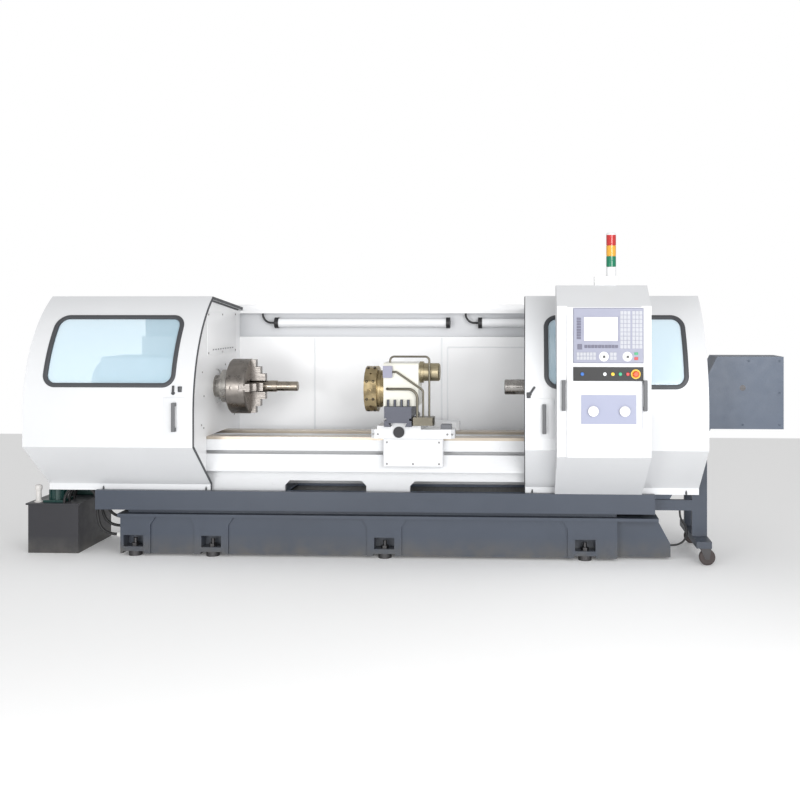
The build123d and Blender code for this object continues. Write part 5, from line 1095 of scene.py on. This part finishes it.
class LATHE_OT_cover_screws(bpy.types.Operator):
    """Button-head screws on the apron, the saddle's wipers and the conveyor's side"""

    bl_idname = "lathe.cover_screws"
    bl_label = "Cover screws"

    def execute(self, context):
        head = screw_head((0.0, -1.0, 0.0))
        steel = machined("cover_screw_steel", (0.36, 0.355, 0.35), 0.34)
        screws = repeated(head, [(NOSE_X + x, APRON_Y, z) for x, z in CARRIAGE_SCREWS])
        add_piece("carriage_screws", screws, "carriage", steel)
        painted = coated("painted_screws", darker(paint("conveyor"), 0.95), 0.36, 0.9)
        screws = repeated(head, [(NOSE_X + x, CONVEYOR_FRONT_Y, z) for x, z in CONVEYOR_SCREWS])
        add_piece("conveyor_screws", screws, "frame", painted)
        return {"FINISHED"}


TOOL_DISC_SIDES = 16
TOOL_DISC_FLAT = 0.157 * math.cos(math.pi / TOOL_DISC_SIDES)
CLAMP_SCREW_X = (NOSE_X + 1.030, NOSE_X + 1.074)
CLAMP_SCREW_PROFILE = ((0.0, -0.001), (0.0095, -0.001), (0.0095, 0.0062), (0.0085, 0.0072), (0.0055, 0.0072),
                       (0.0052, 0.0020), (0.0, 0.0020))


class LATHE_OT_tool_disc_screws(bpy.types.Operator):
    """Cap screws that clamp the tools, two on every second flat of the tool disc's rim"""

    bl_idname = "lathe.tool_disc_screws"
    bl_label = "Tool disc screws"

    def execute(self, context):
        _, disc_y, disc_z = TOOL_DISC
        heads = []
        for angle in 2.0 * math.pi / TOOL_DISC_SIDES * np.arange(1, TOOL_DISC_SIDES, 2):
            across, up = math.sin(angle), math.cos(angle)
            y, z = disc_y + across * TOOL_DISC_FLAT, disc_z + up * TOOL_DISC_FLAT
            head = turned(CLAMP_SCREW_PROFILE, (0.0, across, up), 20)
            heads.append(repeated(head, [(x, y, z) for x in CLAMP_SCREW_X]))
        steel = machined("clamp_screw_steel", (0.10, 0.092, 0.080), 0.36)
        add_piece("tool_clamp_screws", joined(heads), "tool_disc", steel)
        return {"FINISHED"}


KNUCKLE_PROFILE = ((0.0, -0.032), (0.006, -0.032), (0.0075, -0.030), (0.0075, -0.011), (0.0066, -0.0105),
                   (0.0066, -0.0095), (0.0075, -0.009), (0.0075, 0.009), (0.0066, 0.0095), (0.0066, 0.0105),
                   (0.0075, 0.011), (0.0075, 0.030), (0.006, 0.032), (0.0, 0.032))
KNUCKLE_INSET = 0.016
KNUCKLE_PROUD = 0.001
HINGE_HEIGHT_SHARES = np.array([0.16, 0.52, 0.88])
LOCK_PROFILE = ((0.0, -0.001), (0.016, -0.001), (0.016, 0.0035), (0.0145, 0.005), (0.0105, 0.005),
                (0.0098, 0.0028), (0.0050, 0.0028), (0.0046, 0.0062), (0.0, 0.0062))
LOCK_OFFSET = 0.045
STRIP_SIZE = (0.034, 0.005, 1.000)
STRIP_ROUND = 0.0018
STRIP_Y = GUARD_Y + 0.006
STRIP_Z = 0.990
STRIP_SCREW_Z = np.linspace(0.530, 1.450, 5)
# Where the strips stand: from the guard's left end, right of the cabinet and from the guard's right end
STRIP_LEFT_STEPS = (0.030, 0.560, 1.090)
STRIP_CABINET_STEP = 0.070
STRIP_RIGHT_STEP = 0.060


class LATHE_OT_back_trim(bpy.types.Operator):
    """Hinges and locks on the electrical cabinet's doors, and stiffening strips on the guard's back"""

    bl_idname = "lathe.back_trim"
    bl_label = "Back trim"

    def execute(self, context):
        low, high = corners("electrical_cabinet")
        heights = low[2] + (high[2] - low[2]) * HINGE_HEIGHT_SHARES
        black = coated("hinge_black", (0.045, 0.046, 0.05), 0.4, 0.8)
        places = [(x, CABINET_DOOR_Y + KNUCKLE_PROUD, z)
                  for x in (low[0] + KNUCKLE_INSET, high[0] - KNUCKLE_INSET) for z in heights]
        hinges = repeated(turned(KNUCKLE_PROFILE, (0.0, 0.0, 1.0), 20), places)
        add_piece("cabinet_hinges", hinges, "frame", black)
        plated = machined("lock_plated", (0.36, 0.355, 0.35), 0.3)
        middle_x = (low[0] + high[0]) / 2.0
        places = [(x, CABINET_DOOR_Y, z) for x in around(middle_x, LOCK_OFFSET) for z in heights[::2]]
        locks = repeated(turned(LOCK_PROFILE, (0.0, 1.0, 0.0), 30), places)
        add_piece("cabinet_locks", locks, "frame", plated)
        guard_low, guard_high = corners("rear_guard")
        spots = [guard_low[0] + step for step in STRIP_LEFT_STEPS]
        spots += [high[0] + STRIP_CABINET_STEP, guard_high[0] - STRIP_RIGHT_STEP]
        strips = repeated(rounded_block(STRIP_SIZE, STRIP_ROUND), [(x, STRIP_Y, STRIP_Z) for x in spots])
        add_piece("guard_back_strips", strips, "frame", white_cover("strip_paint"))
        steel = machined("guard_screw_steel", (0.40, 0.395, 0.39), 0.34)
        places = [(x, STRIP_Y + STRIP_SIZE[1] / 2.0, z) for x in spots for z in STRIP_SCREW_Z]
        screws = repeated(screw_head((0.0, 1.0, 0.0)), places)
        add_piece("guard_back_screws", screws, "frame", steel)
        return {"FINISHED"}


BORDER_X = (NOSE_X + 2.410, NOSE_X + 2.836)
BORDER_Z = (0.972, 1.236)
BORDER_WIDTH = 0.004
BORDER_DEPTH = 0.0030
BORDER_ROUND = 0.001


class LATHE_OT_control_trim(bpy.types.Operator):
    """The thin raised border round the handwheel plate"""

    bl_idname = "lathe.control_trim"
    bl_label = "Control trim"

    def execute(self, context):
        (left, right), (low, high) = BORDER_X, BORDER_Z
        level = (right - left + BORDER_WIDTH, BORDER_DEPTH, BORDER_WIDTH)
        upright = (BORDER_WIDTH, BORDER_DEPTH, high - low)
        strips = [(level, (left + right) / 2.0, z) for z in BORDER_Z]
        strips += [(upright, x, (low + high) / 2.0) for x in BORDER_X]
        border = joined([rounded_block(size, BORDER_ROUND, (x, CONTROL_FRONT_Y, z), around=3)
                         for size, x, z in strips])
        paint_grey = coated("border_paint", (0.70, 0.71, 0.74), 0.36, 0.95)
        add_piece("handwheel_border", border, "control", paint_grey)
        return {"FINISHED"}


NECK_PROFILE = ((0.0, -0.002), (0.030, -0.002), (0.030, 0.006), (0.019, 0.009), (0.019, 0.084),
                (0.023, 0.087), (0.0245, 0.093), (0.0245, 0.112), (0.021, 0.120), (0.008, 0.124),
                (0.0, 0.124))
NECK_PLACE = (NOSE_X - 1.357, AXIS_Y - 0.115, TANK_LID_Z)
FILTER_CENTRE = (NOSE_X - 1.160, AXIS_Y + 0.230, TANK_LID_Z + 0.040)
FILTER_SIZE = (0.200, 0.150, 0.082)
FILTER_ROUND = 0.014
FILTER_COVER_CENTRE = (NOSE_X - 1.160, AXIS_Y + 0.230, TANK_LID_Z + 0.083)
FILTER_COVER_SIZE = (0.214, 0.164, 0.010)
FILTER_COVER_ROUND = 0.003


class LATHE_OT_tank_fittings(bpy.types.Operator):
    """A filler neck and a filter box on the coolant tank's lid"""

    bl_idname = "lathe.tank_fittings"
    bl_label = "Tank fittings"

    def execute(self, context):
        neck = repeated(turned(NECK_PROFILE, (0.0, 0.0, 1.0), 36), [NECK_PLACE])
        white = moulded("neck_plastic", (0.72, 0.70, 0.68), 0.4, 0.88)
        add_piece("filler_neck", neck, "frame", white)
        green = coated("filter_enamel", (0.014, 0.040, 0.036), 0.36, 0.7)
        box = rounded_block(FILTER_SIZE, FILTER_ROUND, FILTER_CENTRE, 5, 4)
        cover = rounded_block(FILTER_COVER_SIZE, FILTER_COVER_ROUND, FILTER_COVER_CENTRE, 5, 3)
        add_piece("filter_box", joined([box, cover]), "frame", green)
        return {"FINISHED"}


# Lights as name, kind, place, aim, size (an angle for the sun) and power
LIGHTS = (
    ("front_light", "SUN", (1.5, -6.0, 2.2), (0.0, 0.0, 1.0), math.radians(30.0), 0.62),
    ("right_softbox", "AREA", (2.6, -5.4, 2.0), (-1.3, 0.0, 1.2), 2.4, 120.0),
    ("left_softbox", "AREA", (-2.2, -6.8, 1.2), (0.2, 0.0, 1.1), 2.0, 115.0),
)
WHITE_LIGHT = (1.0, 1.0, 1.0)
FLOOR_GLOW = 0.07
FLOOR_POINTS = 9
SENSOR_WIDTH = 36.0
LENS_SHIFT_X = -0.099
LENS_SHIFT_Y = -0.110
VIEW_REACH = 200.0


def add_floor(scene):
    """A flat grid of points at the floor's height, with a pale coat that glows a little."""
    half = scene.lathe_stage.floor_size / 2.0
    line = np.linspace(-half, half, FLOOR_POINTS)
    x, y = np.meshgrid(line, line, indexing="ij")
    points = np.column_stack([x.ravel(), y.ravel(), np.zeros(x.size)])
    mesh = bpy.data.meshes.new("studio_floor")
    mesh.from_pydata(points.tolist(), [], grid_faces(FLOOR_POINTS, FLOOR_POINTS, False, False))
    mesh.update()
    floor = bpy.data.objects.new("studio_floor", mesh)
    scene.collection.objects.link(floor)
    pale = coated("studio_floor_paint", (0.96, 0.96, 0.96), 0.8, 0.995)
    tree = pale.node_tree
    glow = tree.nodes["Principled BSDF"].inputs
    feed(tree, glow["Emission Color"], WHITE_LIGHT)
    feed(tree, glow["Emission Strength"], FLOOR_GLOW)
    mesh.materials.append(pale)


def add_world(scene):
    """Even light from all round, and plain white where the camera sees past the floor or through glass."""
    world = bpy.data.worlds.new("studio")
    world.use_nodes = True
    tree = world.node_tree
    soft = tree.nodes["Background"]
    feed(tree, soft.inputs["Color"], WHITE_LIGHT)
    feed(tree, soft.inputs["Strength"], scene.lathe_stage.ambient)
    seen = new_node(tree, "Background", {"Color": WHITE_LIGHT})
    path = tree.nodes.new("ShaderNodeLightPath").outputs
    straight = arithmetic(tree, "MAXIMUM", path["Is Camera Ray"], path["Is Transmission Ray"])
    inputs = {0: straight, 1: soft.outputs["Background"], 2: seen.outputs["Background"]}
    choice = new_node(tree, "MixShader", inputs)
    feed(tree, tree.nodes["World Output"].inputs["Surface"], choice.outputs["Shader"])
    scene.world = world


def add_lights(scene):
    """A wide sun from the front and two soft boxes."""
    for name, kind, place, aim, size, power in LIGHTS:
        light = bpy.data.lights.new(name, kind)
        light.energy = power
        setattr(light, "angle" if kind == "SUN" else "size", size)
        lamp = bpy.data.objects.new(name, light)
        lamp.location = place
        lamp.rotation_euler = (Vector(aim) - Vector(place)).to_track_quat("-Z", "Y").to_euler()
        scene.collection.objects.link(lamp)


def add_camera(scene):
    """A level camera in front of the machine, its lens shifted so that upright edges stay upright."""
    stage = scene.lathe_stage
    camera = bpy.data.cameras.new("photo_camera")
    camera.lens = stage.focal_length
    camera.sensor_width = SENSOR_WIDTH
    camera.shift_x = LENS_SHIFT_X
    camera.shift_y = LENS_SHIFT_Y
    camera.clip_end = VIEW_REACH
    holder = bpy.data.objects.new("photo_camera", camera)
    holder.location = stage.camera_place
    holder.rotation_euler = (math.pi / 2.0, 0.0, stage.camera_yaw)
    scene.collection.objects.link(holder)
    scene.camera = holder


class LATHE_OT_stage(bpy.types.Operator):
    """Floor, light and camera"""

    bl_idname = "lathe.stage"
    bl_label = "Stage"

    def execute(self, context):
        scene = context.scene
        add_floor(scene)
        add_world(scene)
        add_lights(scene)
        add_camera(scene)
        scene.view_settings.view_transform = "Standard"
        return {"FINISHED"}


OPERATORS = (
    LATHE_OT_stage,
    LATHE_OT_finish_covers,
    LATHE_OT_finish_castings,
    LATHE_OT_finish_metal,
    LATHE_OT_finish_plastics,
    LATHE_OT_coolant_hoses,
    LATHE_OT_conveyor_cable,
    LATHE_OT_window_gaskets,
    LATHE_OT_control_keys,
    LATHE_OT_edge_seals,
    LATHE_OT_door_fittings,
    LATHE_OT_guard_panels,
    LATHE_OT_cover_screws,
    LATHE_OT_tool_disc_screws,
    LATHE_OT_back_trim,
    LATHE_OT_control_trim,
    LATHE_OT_tank_fittings,
)


class LATHE_PT_dressing(bpy.types.Panel):
    """Lists the pieces and the settings they use"""

    bl_idname = "LATHE_PT_dressing"
    bl_label = "Lathe"
    bl_space_type = "VIEW_3D"
    bl_region_type = "UI"
    bl_category = "Lathe"

    def draw(self, context):
        for group_name, group in GROUPS:
            for setting in group.__annotations__:
                self.layout.prop(getattr(context.scene, group_name), setting)
        for operator in OPERATORS:
            self.layout.operator(operator.bl_idname)


def register():
    """Registers the classes and puts the settings on the scene."""
    for name, group in GROUPS:
        bpy.utils.register_class(group)
        setattr(bpy.types.Scene, name, bpy.props.PointerProperty(type=group))
    for operator in OPERATORS:
        bpy.utils.register_class(operator)
    bpy.utils.register_class(LATHE_PT_dressing)


def unregister():
    """Takes the classes and settings away again."""
    bpy.utils.unregister_class(LATHE_PT_dressing)
    for operator in reversed(OPERATORS):
        bpy.utils.unregister_class(operator)
    for name, group in reversed(GROUPS):
        delattr(bpy.types.Scene, name)
        bpy.utils.unregister_class(group)


def main():
    """Registers the add-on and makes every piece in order."""
    register()
    for operator in OPERATORS:
        group, action = operator.bl_idname.split(".")
        getattr(getattr(bpy.ops, group), action)()


if __name__ == "__main__":
    main()
